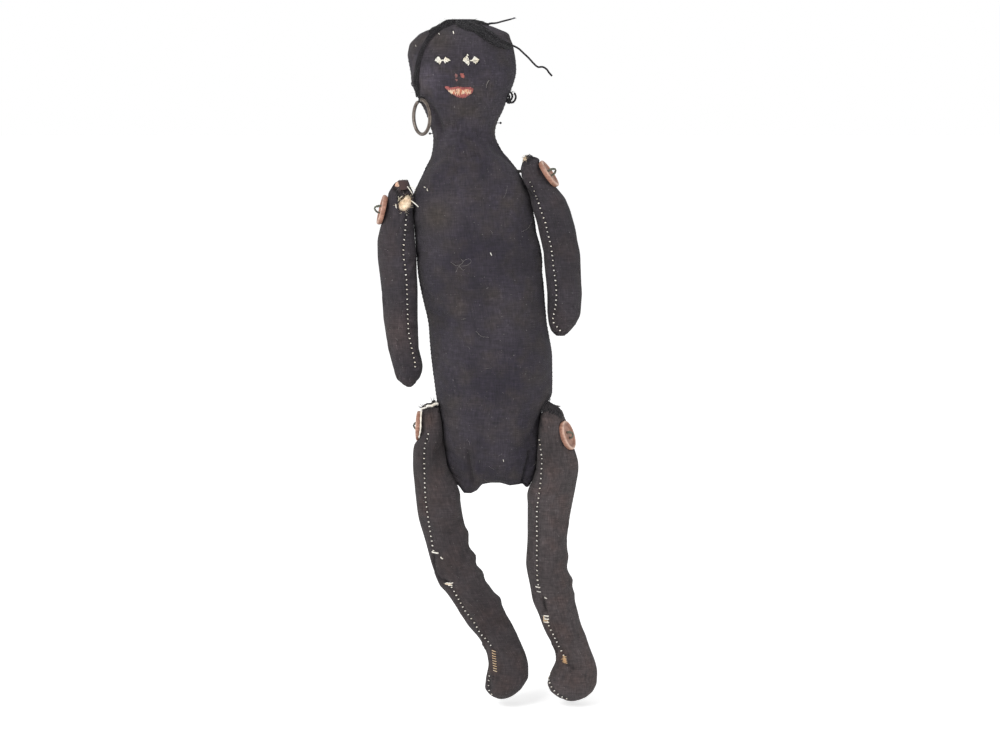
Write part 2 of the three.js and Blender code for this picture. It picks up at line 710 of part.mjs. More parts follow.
// Ears and neck
function earPieces() {
  const leftEarZ = bodyHeight(leftEarUpShare);
  const leftEdge = stationAt(bodyStations, leftEarZ).right;
  const loopReach = leftEarLoopRadius + earLoopYarnRadius + fitGap;
  const loop = new THREE.TorusGeometry(leftEarLoopRadius, earLoopYarnRadius, threadSides, loopSides);
  loop.rotateX(Math.PI / 2);
  loop.translate(leftEdge + loopReach, 0, leftEarZ);
  addPiece('ear_loop_left', solidOf(loop), 'yarn');
  addPin('neck_pin_right', -1, bodyHeight(rightPinUpShare));
  addPin('neck_pin_left', 1, bodyHeight(leftPinUpShare));
}

function addPin(name, side, height) {
  const s = stationAt(bodyStations, height);
  const edge = side < 0 ? s.left - fitGap : s.right + fitGap;
  const shankEnd = edge + side * pinShankLength;
  const shank = barX(pinShankRadius, edge, shankEnd + side * pinHeadRadius, 0, height, holeSides);
  const head = new THREE.SphereGeometry(pinHeadRadius, holeSides, threadSides);
  head.translate(shankEnd + side * pinHeadRadius, 0, height);
  addPiece(name, shank.add(solidOf(head)), 'pin');
}

// Earring: an open ring that hangs on a yarn loop at the right side of the head
const earringTurn = THREE.MathUtils.degToRad(earringTurnDegrees);
const earringTop = earringPlace();

function earringPlace() {
  const z = bodyHeight(earringTopUpShare);
  const x = stationAt(bodyStations, z).left + earringInFromEdge;
  return new THREE.Vector3(x, frontAt(bodyStations, x, z, bodyPinch) - earringStandOff, z);
}

class RingArc extends THREE.Curve {
  getPoint(share, target = new THREE.Vector3()) {
    const opening = THREE.MathUtils.degToRad(earringOpeningDegrees);
    const start = Math.PI / 2 - THREE.MathUtils.degToRad(earringOpeningFromTopDegrees) - opening / 2;
    const angle = start - share * (2 * Math.PI - opening);
    const across = earringRadius * Math.cos(angle);
    const up = earringRadius * (Math.sin(angle) - 1);
    return target.set(across * Math.cos(earringTurn), -across * Math.sin(earringTurn), up);
  }
}

function earringPieces() {
  const ring = new THREE.Group();
  ring.position.copy(earringTop);
  addPiece('earring_ring', tube(new RingArc(), earringWireRadius, ringSides, ringSteps), 'brass', ring);
  const loopRadius = earringWireRadius + fitGap + earLoopYarnRadius;
  const loop = new THREE.TorusGeometry(loopRadius, earLoopYarnRadius, threadSides, loopSides);
  loop.rotateY(Math.PI / 2);
  loop.rotateZ(-earringTurn);
  addPiece('ear_loop_right', solidOf(loop), 'yarn', ring);
  doll.add(ring);
}

// Limbs
function limbStations(limb) {
  return limb.shares.map(([down, outer, inner, front, back]) => {
    const z = -down * limb.reach;
    const edge = innerLimit(limb, z);
    const outerX = limb.side * outer * limb.width;
    const innerX = limb.side * Math.max(limb.side * edge, inner * limb.width);
    return {
      z,
      left: Math.min(outerX, innerX),
      right: Math.max(outerX, innerX),
      front: -front * limb.depth,
      back: back * limb.depth,
    };
  }).reverse();
}

// How near the body a limb may come at its own height z, from the string's mouth.
function innerLimit(limb, z) {
  const height = limb.mouth.z + z;
  if (height < bodyStations[0].z) return -limb.side * bodyWidth;
  const s = stationAt(bodyStations, height);
  const edge = limb.side < 0 ? s.left - limbGap : s.right + limbGap;
  return edge - limb.mouth.x;
}

// A point on the front of a limb, lifted off it, from a seam's shares.
function onLimb(limb, stations, [down, across], lift) {
  const s = stationAt(stations, -down * limb.reach);
  const halfWidth = (s.right - s.left) / 2 + lift;
  const halfDepth = (s.back - s.front) / 2 + lift;
  const out = Math.sqrt(1 - across * across);
  return [
    (s.left + s.right) / 2 + limb.side * across * halfWidth,
    (s.front + s.back) / 2 - halfDepth * out,
    s.z,
  ];
}

// Where a limb's button sits: pulled into the outer side, its normal about square to the limb's slope.
function buttonPlace(limb, stations) {
  const high = stationAt(stations, buttonRadius);
  const low = stationAt(stations, -buttonRadius);
  const edge = limb.side < 0 ? 'left' : 'right';
  const slope = Math.atan2(limb.side * (low[edge] - high[edge]), 2 * buttonRadius);
  const lean = slope + THREE.MathUtils.degToRad(limb.buttonTiltDegrees);
  const turn = THREE.MathUtils.degToRad(limb.buttonTurnDegrees);
  const normal = new THREE.Vector3(
    limb.side * Math.cos(lean) * Math.cos(turn),
    -Math.cos(lean) * Math.sin(turn),
    Math.sin(lean),
  );
  const middle = stationAt(stations, -limb.buttonBelowString);
  const halfWidth = (middle.right - middle.left) / 2;
  const halfDepth = (middle.back - middle.front) / 2;
  const toSide = halfWidth * Math.cos(turn);
  const toFront = halfDepth * Math.sin(turn);
  const reach = Math.hypot(toSide, toFront);
  const centre = new THREE.Vector3(
    (middle.left + middle.right) / 2 + (limb.side * halfWidth * toSide) / reach,
    (middle.front + middle.back) / 2 - (halfDepth * toFront) / reach,
    middle.z,
  );
  const out = surfaceReach(stations, centre, normal) + buttonSeatGap - limb.buttonSink;
  const turnTo = new THREE.Quaternion().setFromUnitVectors(new THREE.Vector3(0, 1, 0), normal);
  return new THREE.Matrix4().compose(
    centre.addScaledVector(normal, out),
    turnTo,
    new THREE.Vector3(1, 1, 1),
  );
}

// How far a limb's surface reaches along a direction, near a point inside it.
function surfaceReach(stations, centre, normal) {
  let reach = 0;
  for (let i = 0; i <= buttonSides; i += 1) {
    const s = stationAt(stations, centre.z + buttonRadius * ((2 * i) / buttonSides - 1));
    for (let k = 0; k < buttonSides; k += 1) {
      const angle = (2 * Math.PI * k) / buttonSides;
      const point = new THREE.Vector3(
        (s.left + s.right) / 2 + ((s.right - s.left) / 2) * Math.cos(angle),
        (s.front + s.back) / 2 + ((s.back - s.front) / 2) * Math.sin(angle),
        s.z,
      );
      reach = Math.max(reach, point.sub(centre).dot(normal));
    }
  }
  return reach;
}

// A dished button with its back at y = 0, facing +Y.
function buttonDisc() {
  const rim = buttonRadius - buttonRimWidth;
  const profile = [
    [0, 0],
    [buttonRadius - buttonBackBevel, 0],
    [buttonRadius, buttonBackBevel],
    [buttonRadius, buttonThickness - buttonEdgeRound],
    [buttonRadius - buttonEdgeRound, buttonThickness],
    [rim, buttonThickness],
    [rim - buttonDish, buttonThickness - buttonDish],
    [0, buttonThickness - buttonDish],
  ];
  return new THREE.LatheGeometry(profile.map(([r, y]) => new THREE.Vector2(r, y)), buttonSides);
}

// The room that a button presses out of its limb, grown on all sides by a distance.
function buttonDent(place, grown) {
  const floor = -buttonSeatGap - grown;
  const radius = buttonRadius + buttonDentMargin + grown;
  const top = buttonThickness + cutOverrun;
  const dent = new THREE.CylinderGeometry(radius, radius, top - floor, buttonSides);
  dent.translate(0, (top + floor) / 2, 0);
  return solidOf(dent.applyMatrix4(place));
}

// The two sewing holes, one above the other, through the button and the cloth behind it.
function buttonBores(place) {
  const bottom = -buttonThreadDepth - buttonSeatGap - boreGap;
  const top = buttonThickness + cutOverrun;
  const bores = [-1, 1].map((side) => {
    const hole = new THREE.CylinderGeometry(buttonHoleRadius, buttonHoleRadius, top - bottom, holeSides);
    hole.translate(0, (top + bottom) / 2, (side * buttonHoleSpacing) / 2);
    return solidOf(hole.applyMatrix4(place));
  });
  return bores[0].add(bores[1]);
}

// The twine that holds a button: up through one hole, over in a loop and down the other.
function buttonThread(place) {
  const half = buttonHoleSpacing / 2;
  const deep = -buttonThreadDepth - buttonSeatGap;
  const side = [[half, deep], [half, 0], [half, buttonThickness - buttonDish]];
  const loop = [[half * loopWaistShare, buttonThickness + buttonThreadRise * loopWaistShare]];
  const rising = [...side, ...loop];
  const falling = [...rising].reverse();
  const points = [
    ...rising.map(([z, y]) => [0, y, -z]),
    [0, buttonThickness + buttonThreadRise, 0],
    ...falling.map(([z, y]) => [0, y, z]),
  ];
  const path = points.map((p) => new THREE.Vector3(...p).applyMatrix4(place).toArray());
  return threadAlong(curveThrough(path), buttonThreadRadius, points.length);
}

function limbPieces(limb) {
  const group = new THREE.Group();
  group.position.copy(limb.mouth);
  const stations = limbStations(limb);
  const bore = barX(stringRadius + boreGap, -limb.side * cutOverrun,
    limb.side * (stringInsideLimb + boreGap), 0, 0, stringSides);
  const place = buttonPlace(limb, stations);
  const holes = bore.add(buttonBores(place));

  const lining = inset(stations, clothThickness);
  const mouth = { ...lining[lining.length - 1], z: stations[stations.length - 1].z + cutOverrun };
  const hollow = loft([...lining.slice(0, -1), mouth], limbSides)
    .subtract(buttonDent(place, clothThickness));
  let cloth = loft(stations, limbSides)
    .subtract(buttonDent(place, 0))
    .subtract(hollow)
    .subtract(holes);
  if (limb.tearShares) {
    const tear = limb.tearShares.map(([across, up]) => [
      limb.side * across * limb.width,
      up * limb.reach,
    ]);
    cloth = cloth.subtract(frontCutter(tear, limb.depth));
  }
  const packed = inset(stations, clothThickness + fitGap).slice(0, -1);
  addPiece(`${limb.name}_cloth`, cloth, 'limbCloth', group);
  const stuffing = loft(packed, limbSides)
    .subtract(buttonDent(place, clothThickness + fitGap))
    .subtract(holes);
  addPiece(`${limb.name}_stuffing`, stuffing, 'stuffing', group);

  const lift = fitGap + seamThreadRadius + seamThreadLift;
  const seam = curveThrough(limb.seamShares.map((at) => onLimb(limb, stations, at, lift)));
  const thread = threadAlong(seam, seamThreadRadius, limb.seamShares.length);
  const clear = loft(inset(stations, -fitGap), limbSides);
  addPiece(`${limb.name}_seam_thread`, thread.subtract(clear), 'creamThread', group);

  const disc = solidOf(buttonDisc().applyMatrix4(place));
  addPiece(`${limb.name}_button`, disc.subtract(buttonBores(place)), 'button', group);
  addPiece(`${limb.name}_button_thread`, buttonThread(place), 'twine', group);
  doll.add(group);
}

const limbs = [
  {
    name: 'right_arm',
    side: -1,
    mouth: rightShoulder,
    reach: rightArmReach,
    width: rightArmWidth,
    depth: rightArmDepth,
    shares: rightArmShares,
    seamShares: rightArmSeamShares,
    tearShares: rightArmTearShares,
    buttonBelowString: rightArmButtonDrop,
    buttonTurnDegrees: rightArmButtonTurnDegrees,
    buttonTiltDegrees: rightArmButtonTiltDegrees,
    buttonSink: rightArmButtonSink,
  },
  {
    name: 'left_arm',
    side: 1,
    mouth: leftShoulder,
    reach: leftArmReach,
    width: leftArmWidth,
    depth: leftArmDepth,
    shares: leftArmShares,
    seamShares: leftArmSeamShares,
    buttonBelowString: leftArmButtonDrop,
    buttonTurnDegrees: leftArmButtonTurnDegrees,
    buttonTiltDegrees: leftArmButtonTiltDegrees,
    buttonSink: leftArmButtonSink,
  },
  {
    name: 'right_leg',
    side: -1,
    mouth: rightHip,
    reach: rightLegReach,
    width: rightLegWidth,
    depth: rightLegDepth,
    shares: rightLegShares,
    seamShares: rightLegSeamShares,
    buttonBelowString: rightLegButtonDrop,
    buttonTurnDegrees: rightLegButtonTurnDegrees,
    buttonTiltDegrees: rightLegButtonTiltDegrees,
    buttonSink: rightLegButtonSink,
  },
  {
    name: 'left_leg',
    side: 1,
    mouth: leftHip,
    reach: leftLegReach,
    width: leftLegWidth,
    depth: leftLegDepth,
    shares: leftLegShares,
    seamShares: leftLegSeamShares,
    buttonBelowString: leftLegButtonDrop,
    buttonTurnDegrees: leftLegButtonTurnDegrees,
    buttonTiltDegrees: leftLegButtonTiltDegrees,
    buttonSink: leftLegButtonSink,
  },
];

bodyPieces();
facePieces();
hairPieces();
earPieces();
earringPieces();
limbs.forEach(limbPieces);

export default doll;
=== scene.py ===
# A hand-sewn rag doll of faded black cotton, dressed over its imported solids.
# Metres, +Z up, face towards -Y. Left and right are the doll's own, so right is -X.
import json
import math

import bpy
import numpy as np
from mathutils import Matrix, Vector, noise
from mathutils.bvhtree import BVHTree


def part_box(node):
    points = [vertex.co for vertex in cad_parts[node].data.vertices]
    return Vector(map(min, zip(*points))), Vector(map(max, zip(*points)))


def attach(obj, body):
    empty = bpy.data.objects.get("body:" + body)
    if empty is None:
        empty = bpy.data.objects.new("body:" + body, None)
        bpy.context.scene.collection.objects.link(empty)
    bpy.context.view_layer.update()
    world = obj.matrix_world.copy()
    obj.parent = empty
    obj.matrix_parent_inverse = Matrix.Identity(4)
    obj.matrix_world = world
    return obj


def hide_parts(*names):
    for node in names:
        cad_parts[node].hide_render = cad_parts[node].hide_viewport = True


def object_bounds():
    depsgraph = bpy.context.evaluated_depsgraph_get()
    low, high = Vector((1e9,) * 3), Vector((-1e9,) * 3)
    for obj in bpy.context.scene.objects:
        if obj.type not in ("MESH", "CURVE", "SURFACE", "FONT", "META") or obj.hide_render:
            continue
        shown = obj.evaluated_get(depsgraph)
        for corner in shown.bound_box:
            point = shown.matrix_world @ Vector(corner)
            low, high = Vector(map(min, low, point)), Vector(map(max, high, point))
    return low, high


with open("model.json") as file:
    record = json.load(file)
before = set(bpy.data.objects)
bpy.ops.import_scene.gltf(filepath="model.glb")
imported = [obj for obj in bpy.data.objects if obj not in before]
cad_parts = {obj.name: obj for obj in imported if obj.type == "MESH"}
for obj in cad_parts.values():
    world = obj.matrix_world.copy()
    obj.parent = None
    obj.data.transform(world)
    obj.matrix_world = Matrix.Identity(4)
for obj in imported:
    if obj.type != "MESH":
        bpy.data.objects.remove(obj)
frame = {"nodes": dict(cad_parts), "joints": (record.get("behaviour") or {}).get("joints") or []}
cad_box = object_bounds()

MM = 0.001
FULL_TURN = 2 * math.pi

# Camera, at the photograph's viewing angle
IMAGE_WIDTH = 1000
IMAGE_HEIGHT = 749
SENSOR_WIDTH = 36
LENS = 91.1
CAMERA_DISTANCE = 1.6
CAMERA_ELEVATION = math.radians(8)
VIEW_TARGET = Vector((7.56, 0, -31.5)) * MM

view_right = Vector((1, 0, 0))
view_back = Vector((0, -math.cos(CAMERA_ELEVATION), math.sin(CAMERA_ELEVATION)))
view_up = view_back.cross(view_right)
view_place = VIEW_TARGET + view_back * CAMERA_DISTANCE
focal_pixels = LENS / SENSOR_WIDTH * IMAGE_WIDTH

camera = bpy.data.objects.new("camera", bpy.data.cameras.new("camera"))
camera.data.sensor_width = SENSOR_WIDTH
camera.data.lens = LENS
camera.location = view_place
camera.rotation_euler = view_back.to_track_quat("Z", "Y").to_euler()
bpy.context.scene.collection.objects.link(camera)
bpy.context.scene.camera = camera


def pixel_ray(x, y):
    """The direction in which the camera sees a pixel."""
    across = view_right * (x - IMAGE_WIDTH / 2)
    up = view_up * (IMAGE_HEIGHT / 2 - y)
    return (across + up - view_back * focal_pixels).normalized()


def pixel_point(x, y, depth=0.0):
    """The point of the upright plane Y = depth that the camera sees at a pixel."""
    ray = pixel_ray(x, y)
    return view_place + ray * ((depth - view_place.y) / ray.y)


def pixels_of(points):
    """Where the camera sees an array of points, as pixel x and y."""
    away = points - np.array(view_place)
    depth = -(away @ np.array(view_back))
    x = IMAGE_WIDTH / 2 + focal_pixels * (away @ np.array(view_right)) / depth
    y = IMAGE_HEIGHT / 2 - focal_pixels * (away @ np.array(view_up)) / depth
    return x, y


# Free cord: the strand of hair yarn that stands off the head, with the route of its solid
TAIL_LEAVES = Vector((15.9, 0, 174.6)) * MM
TAIL_ROUTE = [
    (0, 0, 0), (3.2, -0.8, -1.7), (6.4, -1.4, -4.6), (9.6, -1.6, -7.6), (12.6, -1.5, -10.9),
    (15.2, -1.2, -13.0), (18.2, -1.0, -13.0), (20.6, -1.2, -14.4), (22.2, -1.6, -16.6),
    (24.0, -2.0, -18.6),
]
TAIL_DIAMETER = 1.3 * MM


# Curves through chosen points
def spline(points, count):
    """Evenly many points of a smooth curve through the given points, as an array."""
    given = np.array([tuple(p) for p in points], float)
    ends = np.vstack([2 * given[0] - given[1], given, 2 * given[-1] - given[-2]])
    at = np.linspace(0, len(given) - 1, count)
    k = np.minimum(at.astype(int), len(given) - 2)
    t = (at - k)[:, None]
    a, b, c, d = ends[k], ends[k + 1], ends[k + 2], ends[k + 3]
    cubic = -a + 3 * b - 3 * c + d
    square = 2 * a - 5 * b + 4 * c - d
    return 0.5 * (2 * b + (c - a) * t + square * t**2 + cubic * t**3)


def lengths_along(points):
    """The length of a path up to each of its points."""
    steps = np.linalg.norm(np.diff(points, axis=0), axis=1)
    return np.concatenate([[0], np.cumsum(steps)])


def even_path(points, step):
    """A path's points again, a step apart."""
    along = lengths_along(points)
    at = np.arange(0, along[-1], step)
    return np.stack([np.interp(at, along, points[:, k]) for k in range(points.shape[1])], 1)


# Materials
def srgb(red, green, blue):
    """A colour given in display values from 0 to 255, as the linear colour that shaders take."""
    shown = [c / 255 for c in (red, green, blue)]
    return [((c + 0.055) / 1.055) ** 2.4 for c in shown] + [1]


class Look:
    """A material, with short ways to add nodes to it. Its colours are given in display values."""

    # The frame's own materials have some of the same names, so the ones made here are kept apart
    made = {}

    def __init__(self, name, roughness, sheen=0.0, metallic=0.0):
        material = bpy.data.materials.new(name)
        self.made[name] = material
        material.use_nodes = True
        self.tree = material.node_tree
        self.shader = self.tree.nodes["Principled BSDF"]
        settings = {"Roughness": roughness, "Metallic": metallic, "Sheen Weight": sheen,
                    "Sheen Roughness": 0.45, "Specular IOR Level": 0.3}
        for key, value in settings.items():
            self.shader.inputs[key].default_value = value
        self.place = self.add("ShaderNodeTexCoord").outputs["Object"]

    def feed(self, socket, value):
        if isinstance(value, bpy.types.NodeSocket):
            self.tree.links.new(value, socket)
        else:
            socket.default_value = value

    def add(self, kind, inputs=None, **settings):
        node = self.tree.nodes.new(kind)
        for key, value in settings.items():
            setattr(node, key, value)
        for key, value in (inputs or {}).items():
            self.feed(node.inputs[key], value)
        return node

    def math(self, operation, a, b=0.0):
        return self.add("ShaderNodeMath", {0: a, 1: b}, operation=operation).outputs[0]

    def times(self, a, b):
        return self.math("MULTIPLY", a, b)

    def mix(self, share, a, b, blend_type="MIX"):
        given = {0: share, 6: a, 7: b}
        inputs = {key: srgb(*v) if isinstance(v, tuple) else v for key, v in given.items()}
        return self.add("ShaderNodeMix", inputs, data_type="RGBA", blend_type=blend_type).outputs[2]

    def stretched(self, place, scale):
        return self.add("ShaderNodeMapping", {"Vector": place, "Scale": scale}).outputs[0]

    def noise(self, place, scale, detail):
        inputs = {"Vector": place, "Scale": scale, "Detail": detail}
        return self.add("ShaderNodeTexNoise", inputs).outputs["Fac"]

    def between(self, value, low, high, least=0.0, most=1.0):
        inputs = {0: value, 1: low, 2: high, 3: least, 4: most}
        return self.add("ShaderNodeMapRange", inputs).outputs[0]

    def clouds(self, scale, detail, low, high, least=0.0, most=1.0):
        """Noise all over the piece, drawn out between two of its levels."""
        return self.between(self.noise(self.place, scale, detail), low, high, least, most)

    def attribute(self, name):
        return self.add("ShaderNodeAttribute", attribute_name=name).outputs["Fac"]

    def uv(self):
        return self.add("ShaderNodeUVMap", uv_map="cloth").outputs[0]

    def lit(self, colour, light):
        return self.mix(1.0, colour, light, "MULTIPLY")

    def colour(self, value):
        self.feed(self.shader.inputs["Base Color"], value)

    def roughness(self, value):
        self.feed(self.shader.inputs["Roughness"], value)

    def bump(self, height, distance):
        bump = self.add("ShaderNodeBump", {"Height": height, "Distance": distance})
        before = self.shader.inputs["Normal"]
        if before.links:
            self.feed(bump.inputs["Normal"], before.links[0].from_socket)
        self.feed(before, bump.outputs[0])


WEAVE_PITCH = 0.55
SLUB_FINE = 1.5
SLUB_LONG = 0.11
SLUB_SCALES = [(SLUB_FINE, SLUB_LONG, 1), (SLUB_LONG, SLUB_FINE, 1)]
LINT_COLOUR = (150, 145, 146)


def cotton(name, base, faded, brown):
    """Faded plain-woven cotton. Its UV map is in millimetres of cloth."""
    look = Look(name, 0.92, sheen=0.05)
    cloth = look.uv()
    across = look.add("ShaderNodeSeparateXYZ", {0: cloth}).outputs
    turns = FULL_TURN / WEAVE_PITCH
    weave = look.times(*[look.math("SINE", look.times(across[k], turns)) for k in (0, 1)])
    slubs = [look.noise(look.stretched(cloth, scale), 1.0, 3.0) for scale in SLUB_SCALES]
    slubs = look.math("ADD", *slubs)

    colour = look.mix(look.clouds(26, 3.0, 0.35, 0.7), base, faded)
    patches = look.times(look.clouds(70, 4.0, 0.45, 0.75), 0.6)
    colour = look.mix(look.math("MAXIMUM", look.attribute("stain"), patches), colour, brown)
    mottle = look.clouds(420, 3.0, 0.3, 0.7, 0.7, 1.3)
    mottle = look.times(mottle, look.clouds(90, 2.0, 0.3, 0.7, 0.86, 1.16))
    light = look.times(look.between(slubs, 0.7, 1.3, 0.66, 1.36), mottle)
    light = look.times(light, look.between(weave, -1, 1, 0.9, 1.1))
    light = look.times(light, look.between(look.attribute("shade"), 0, 1, 1.0, 0.28))
    light = look.times(light, look.between(look.attribute("pale"), 0, 1, 1.0, 2.0))
    lint = look.times(look.clouds(900, 1.0, 0.735, 0.77), 0.35)
    look.colour(look.mix(lint, look.lit(colour, light), LINT_COLOUR))
    look.roughness(look.between(mottle, 0.84, 1.16, 0.82, 0.98))
    look.bump(weave, 0.09 * MM)
    look.bump(slubs, 0.25 * MM)


def thread(name, base, worn, shine=0.55, ply=0.8):
    """Spun thread or yarn. Its UV map is in millimetres along and turns around the strand."""
    look = Look(name, shine, sheen=0.2)
    strand = look.add("ShaderNodeSeparateXYZ", {0: look.uv()}).outputs
    along = look.times(strand[0], FULL_TURN / ply)
    around = look.times(strand[1], FULL_TURN)
    twist = look.math("SINE", look.math("ADD", along, around))
    fibres = look.noise(look.place, 1600, 3.0)
    colour = look.mix(look.clouds(160, 3.0, 0.4, 0.72), base, worn)
    light = look.math("ADD", look.times(twist, 0.2), fibres)
    look.colour(look.lit(colour, look.between(light, 0.2, 0.9, 0.78, 1.15)))
    look.roughness(look.between(fibres, 0.3, 0.7, shine - 0.08, shine + 0.15))
    look.bump(twist, 0.06 * MM)
    look.bump(fibres, 0.08 * MM)


def waste(name, base, deep):
    """Loose cotton stuffing."""
    look = Look(name, 1.0, sheen=0.3)
    fibres = look.noise(look.stretched(look.place, (1, 3, 1)), 1500, 4.0)
    colour = look.mix(look.clouds(300, 4.0, 0.35, 0.7), deep, base)
    look.colour(look.lit(colour, look.between(fibres, 0.25, 0.75, 0.8, 1.12)))
    look.bump(fibres, 0.4 * MM)


def horn(name, deep, base, worn, dirty):
    """A horn button, paler on its rim, partly from wear and partly a painted highlight, and dirty in its
    hollows.
    """
    look = Look(name, 0.42)
    clouds = look.noise(look.stretched(look.place, (1, 1, 2.5)), 190, 5.0)
    colour = look.mix(look.between(clouds, 0.3, 0.75), deep, base)
    # The worn colour on the rim's top is partly wear and partly a painted highlight
    wear = look.times(look.attribute("wear"), look.between(clouds, 0.25, 0.5))
    soiled = look.times(look.clouds(900, 4.0, 0.52, 0.7), 0.5)
    dirt = look.math("MAXIMUM", soiled, look.attribute("dirt"))
    look.colour(look.mix(dirt, look.mix(wear, colour, worn), dirty))
    scratches = look.noise(look.stretched(look.place, (6, 6, 0.6)), 700, 3.0)
    look.roughness(look.between(scratches, 0.3, 0.7, 0.32, 0.6))
    look.bump(scratches, 0.03 * MM)
    look.bump(clouds, 0.15 * MM)


def tarnished(name, deep, base, dirty):
    """Dull brass, dirty in its groove."""
    look = Look(name, 0.4, metallic=0.75)
    clouds = look.noise(look.place, 260, 5.0)
    spots = look.clouds(1100, 3.0, 0.5, 0.72)
    colour = look.mix(look.between(clouds, 0.35, 0.7), deep, base)
    groove = look.math("MAXIMUM", look.times(spots, 0.45), look.attribute("dirt"))
    look.colour(look.mix(groove, colour, dirty))
    look.roughness(look.between(clouds, 0.3, 0.7, 0.34, 0.58))
    look.bump(clouds, 0.1 * MM)
    look.bump(spots, 0.04 * MM)


def glass(name, base, dusty):
    """A glossy pin head with dust on it."""
    look = Look(name, 0.16)
    dust = look.clouds(1300, 2.0, 0.55, 0.75)
    look.colour(look.mix(look.times(dust, 0.3), base, dusty))
    look.roughness(look.between(dust, 0, 1, 0.14, 0.5))
    look.bump(dust, 0.02 * MM)


# Each kind's materials, with their colours and then, for a thread, its shine and ply
MATERIALS = {
    cotton: {
        "body_cotton": [(44, 40, 49), (63, 58, 65), (66, 59, 53)],
        "arm_cotton": [(48, 44, 49), (60, 55, 60), (64, 54, 53)],
        "right_leg_cotton": [(54, 48, 50), (66, 60, 62), (70, 57, 54)],
        "left_leg_cotton": [(66, 60, 61), (78, 71, 72), (82, 66, 62)],
    },
    thread: {
        "cream_thread": [(255, 251, 242), (246, 234, 214)],
        "orange_thread": [(234, 192, 142), (248, 226, 190)],
        "black_thread": [(26, 23, 27), (48, 43, 45), 0.8],
        # needle_dark is near-black: painted shade in the needle holes, and the eyes' contour stitches
        "needle_dark": [(8, 7, 9), (14, 12, 14), 0.95],
        "black_yarn": [(17, 15, 20), (34, 30, 35), 0.8, 1.3],
        "grey_yarn": [(110, 106, 118), (70, 66, 76), 0.8, 1.3],
        "twine": [(112, 116, 102), (74, 76, 68), 0.7, 1.1],
        "dark_twine": [(62, 58, 56), (42, 40, 42), 0.8, 1.1],
        "white_floss": [(255, 252, 242), (240, 228, 200), 0.42],
        "red_floss": [(170, 96, 94), (136, 66, 68), 0.5],
        "pink_floss": [(184, 110, 100), (148, 78, 74), 0.5],
        "tooth_cream": [(244, 222, 192), (222, 170, 132), 0.5],
        "tooth_amber": [(214, 132, 100), (196, 108, 88), 0.5],
        "dull_red_floss": [(154, 104, 100), (124, 86, 84), 0.6],
        "pale_fibre": [(170, 164, 160), (112, 106, 106), 0.6],
        "brown_fibre": [(70, 56, 50), (44, 38, 38), 0.7],
        "cream_fibre": [(248, 234, 208), (226, 200, 160), 0.7],
        "torn_cotton": [(74, 56, 54), (54, 44, 46), 0.9, 0.9],
    },
    waste: {
        "cream_waste": [(255, 238, 210), (238, 202, 164)],
        "blush_waste": [(250, 218, 190), (228, 172, 144)],
        "orange_waste": [(214, 170, 122), (176, 118, 82)],
    },
    # The horn's third colour is its pale rim: partly wear, partly a painted highlight
    horn: {"button_horn": [(140, 98, 82), (186, 142, 122), (216, 184, 166), (84, 58, 50)]},
    tarnished: {"ring_brass": [(92, 84, 79), (132, 123, 116), (70, 60, 52)]},
    glass: {"pin_gloss": [(16, 15, 18), (70, 68, 70)]},
}
for make, kinds in MATERIALS.items():
    for name, given in kinds.items():
        make(name, *given)


# Meshes
def point_array(points):
    return np.array([tuple(p) for p in points], float)


def add_mesh(name, points, faces, material, uv=None):
    """A smooth mesh object from points and faces, with UV pairs given for each point."""
    mesh = bpy.data.meshes.new(name)
    mesh.from_pydata([tuple(p) for p in points], [], [tuple(f) for f in faces])
    mesh.materials.append(Look.made[material])
    mesh.polygons.foreach_set("use_smooth", [True] * len(mesh.polygons))
    if uv is not None:
        corner = np.zeros(len(mesh.loops), int)
        mesh.loops.foreach_get("vertex_index", corner)
        layer = mesh.uv_layers.new(name="cloth")
        layer.data.foreach_set("uv", np.asarray(uv, float)[corner].ravel())
    mesh.update()
    obj = bpy.data.objects.new(name, mesh)
    bpy.context.scene.collection.objects.link(obj)
    return obj


def tube_faces(rings, columns, start=0, turned=False):
    """Faces between neighbouring rings of points, each ring closed on itself."""
    faces = []
    for low in range(start, start + (rings - 1) * columns, columns):
        for i in range(columns):
            k = (i + 1) % columns
            face = (low + i, low + k, low + columns + k, low + columns + i)
            faces.append(face[:1] + face[:0:-1] if turned else face)
    return faces


def set_attribute(obj, name, values):
    attribute = obj.data.attributes.new(name, "FLOAT", "POINT")
    attribute.data.foreach_set("value", np.asarray(values, np.float32).ravel())


def finish_piece(obj, body, slot, *nodes):
    """Rides a piece on its body and hides the solids that it stands for. Its slot is not used."""
    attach(obj, body)
    if nodes:
        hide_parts(*nodes)


def frames_along(path):
    """Unit vectors along and square to a path, which turn with it as little as they can."""
    along = np.gradient(path, axis=0)
    along /= np.linalg.norm(along, axis=1)[:, None] + 1e-12
    first = np.cross(along[0], [0.31, 0.52, 0.79])
    side = [first / np.linalg.norm(first)]
    for direction in along[1:]:
        turned = side[-1] - direction * (side[-1] @ direction)
        side.append(turned / (np.linalg.norm(turned) + 1e-12))
    side = np.array(side)
    return along, side, np.cross(along, side)


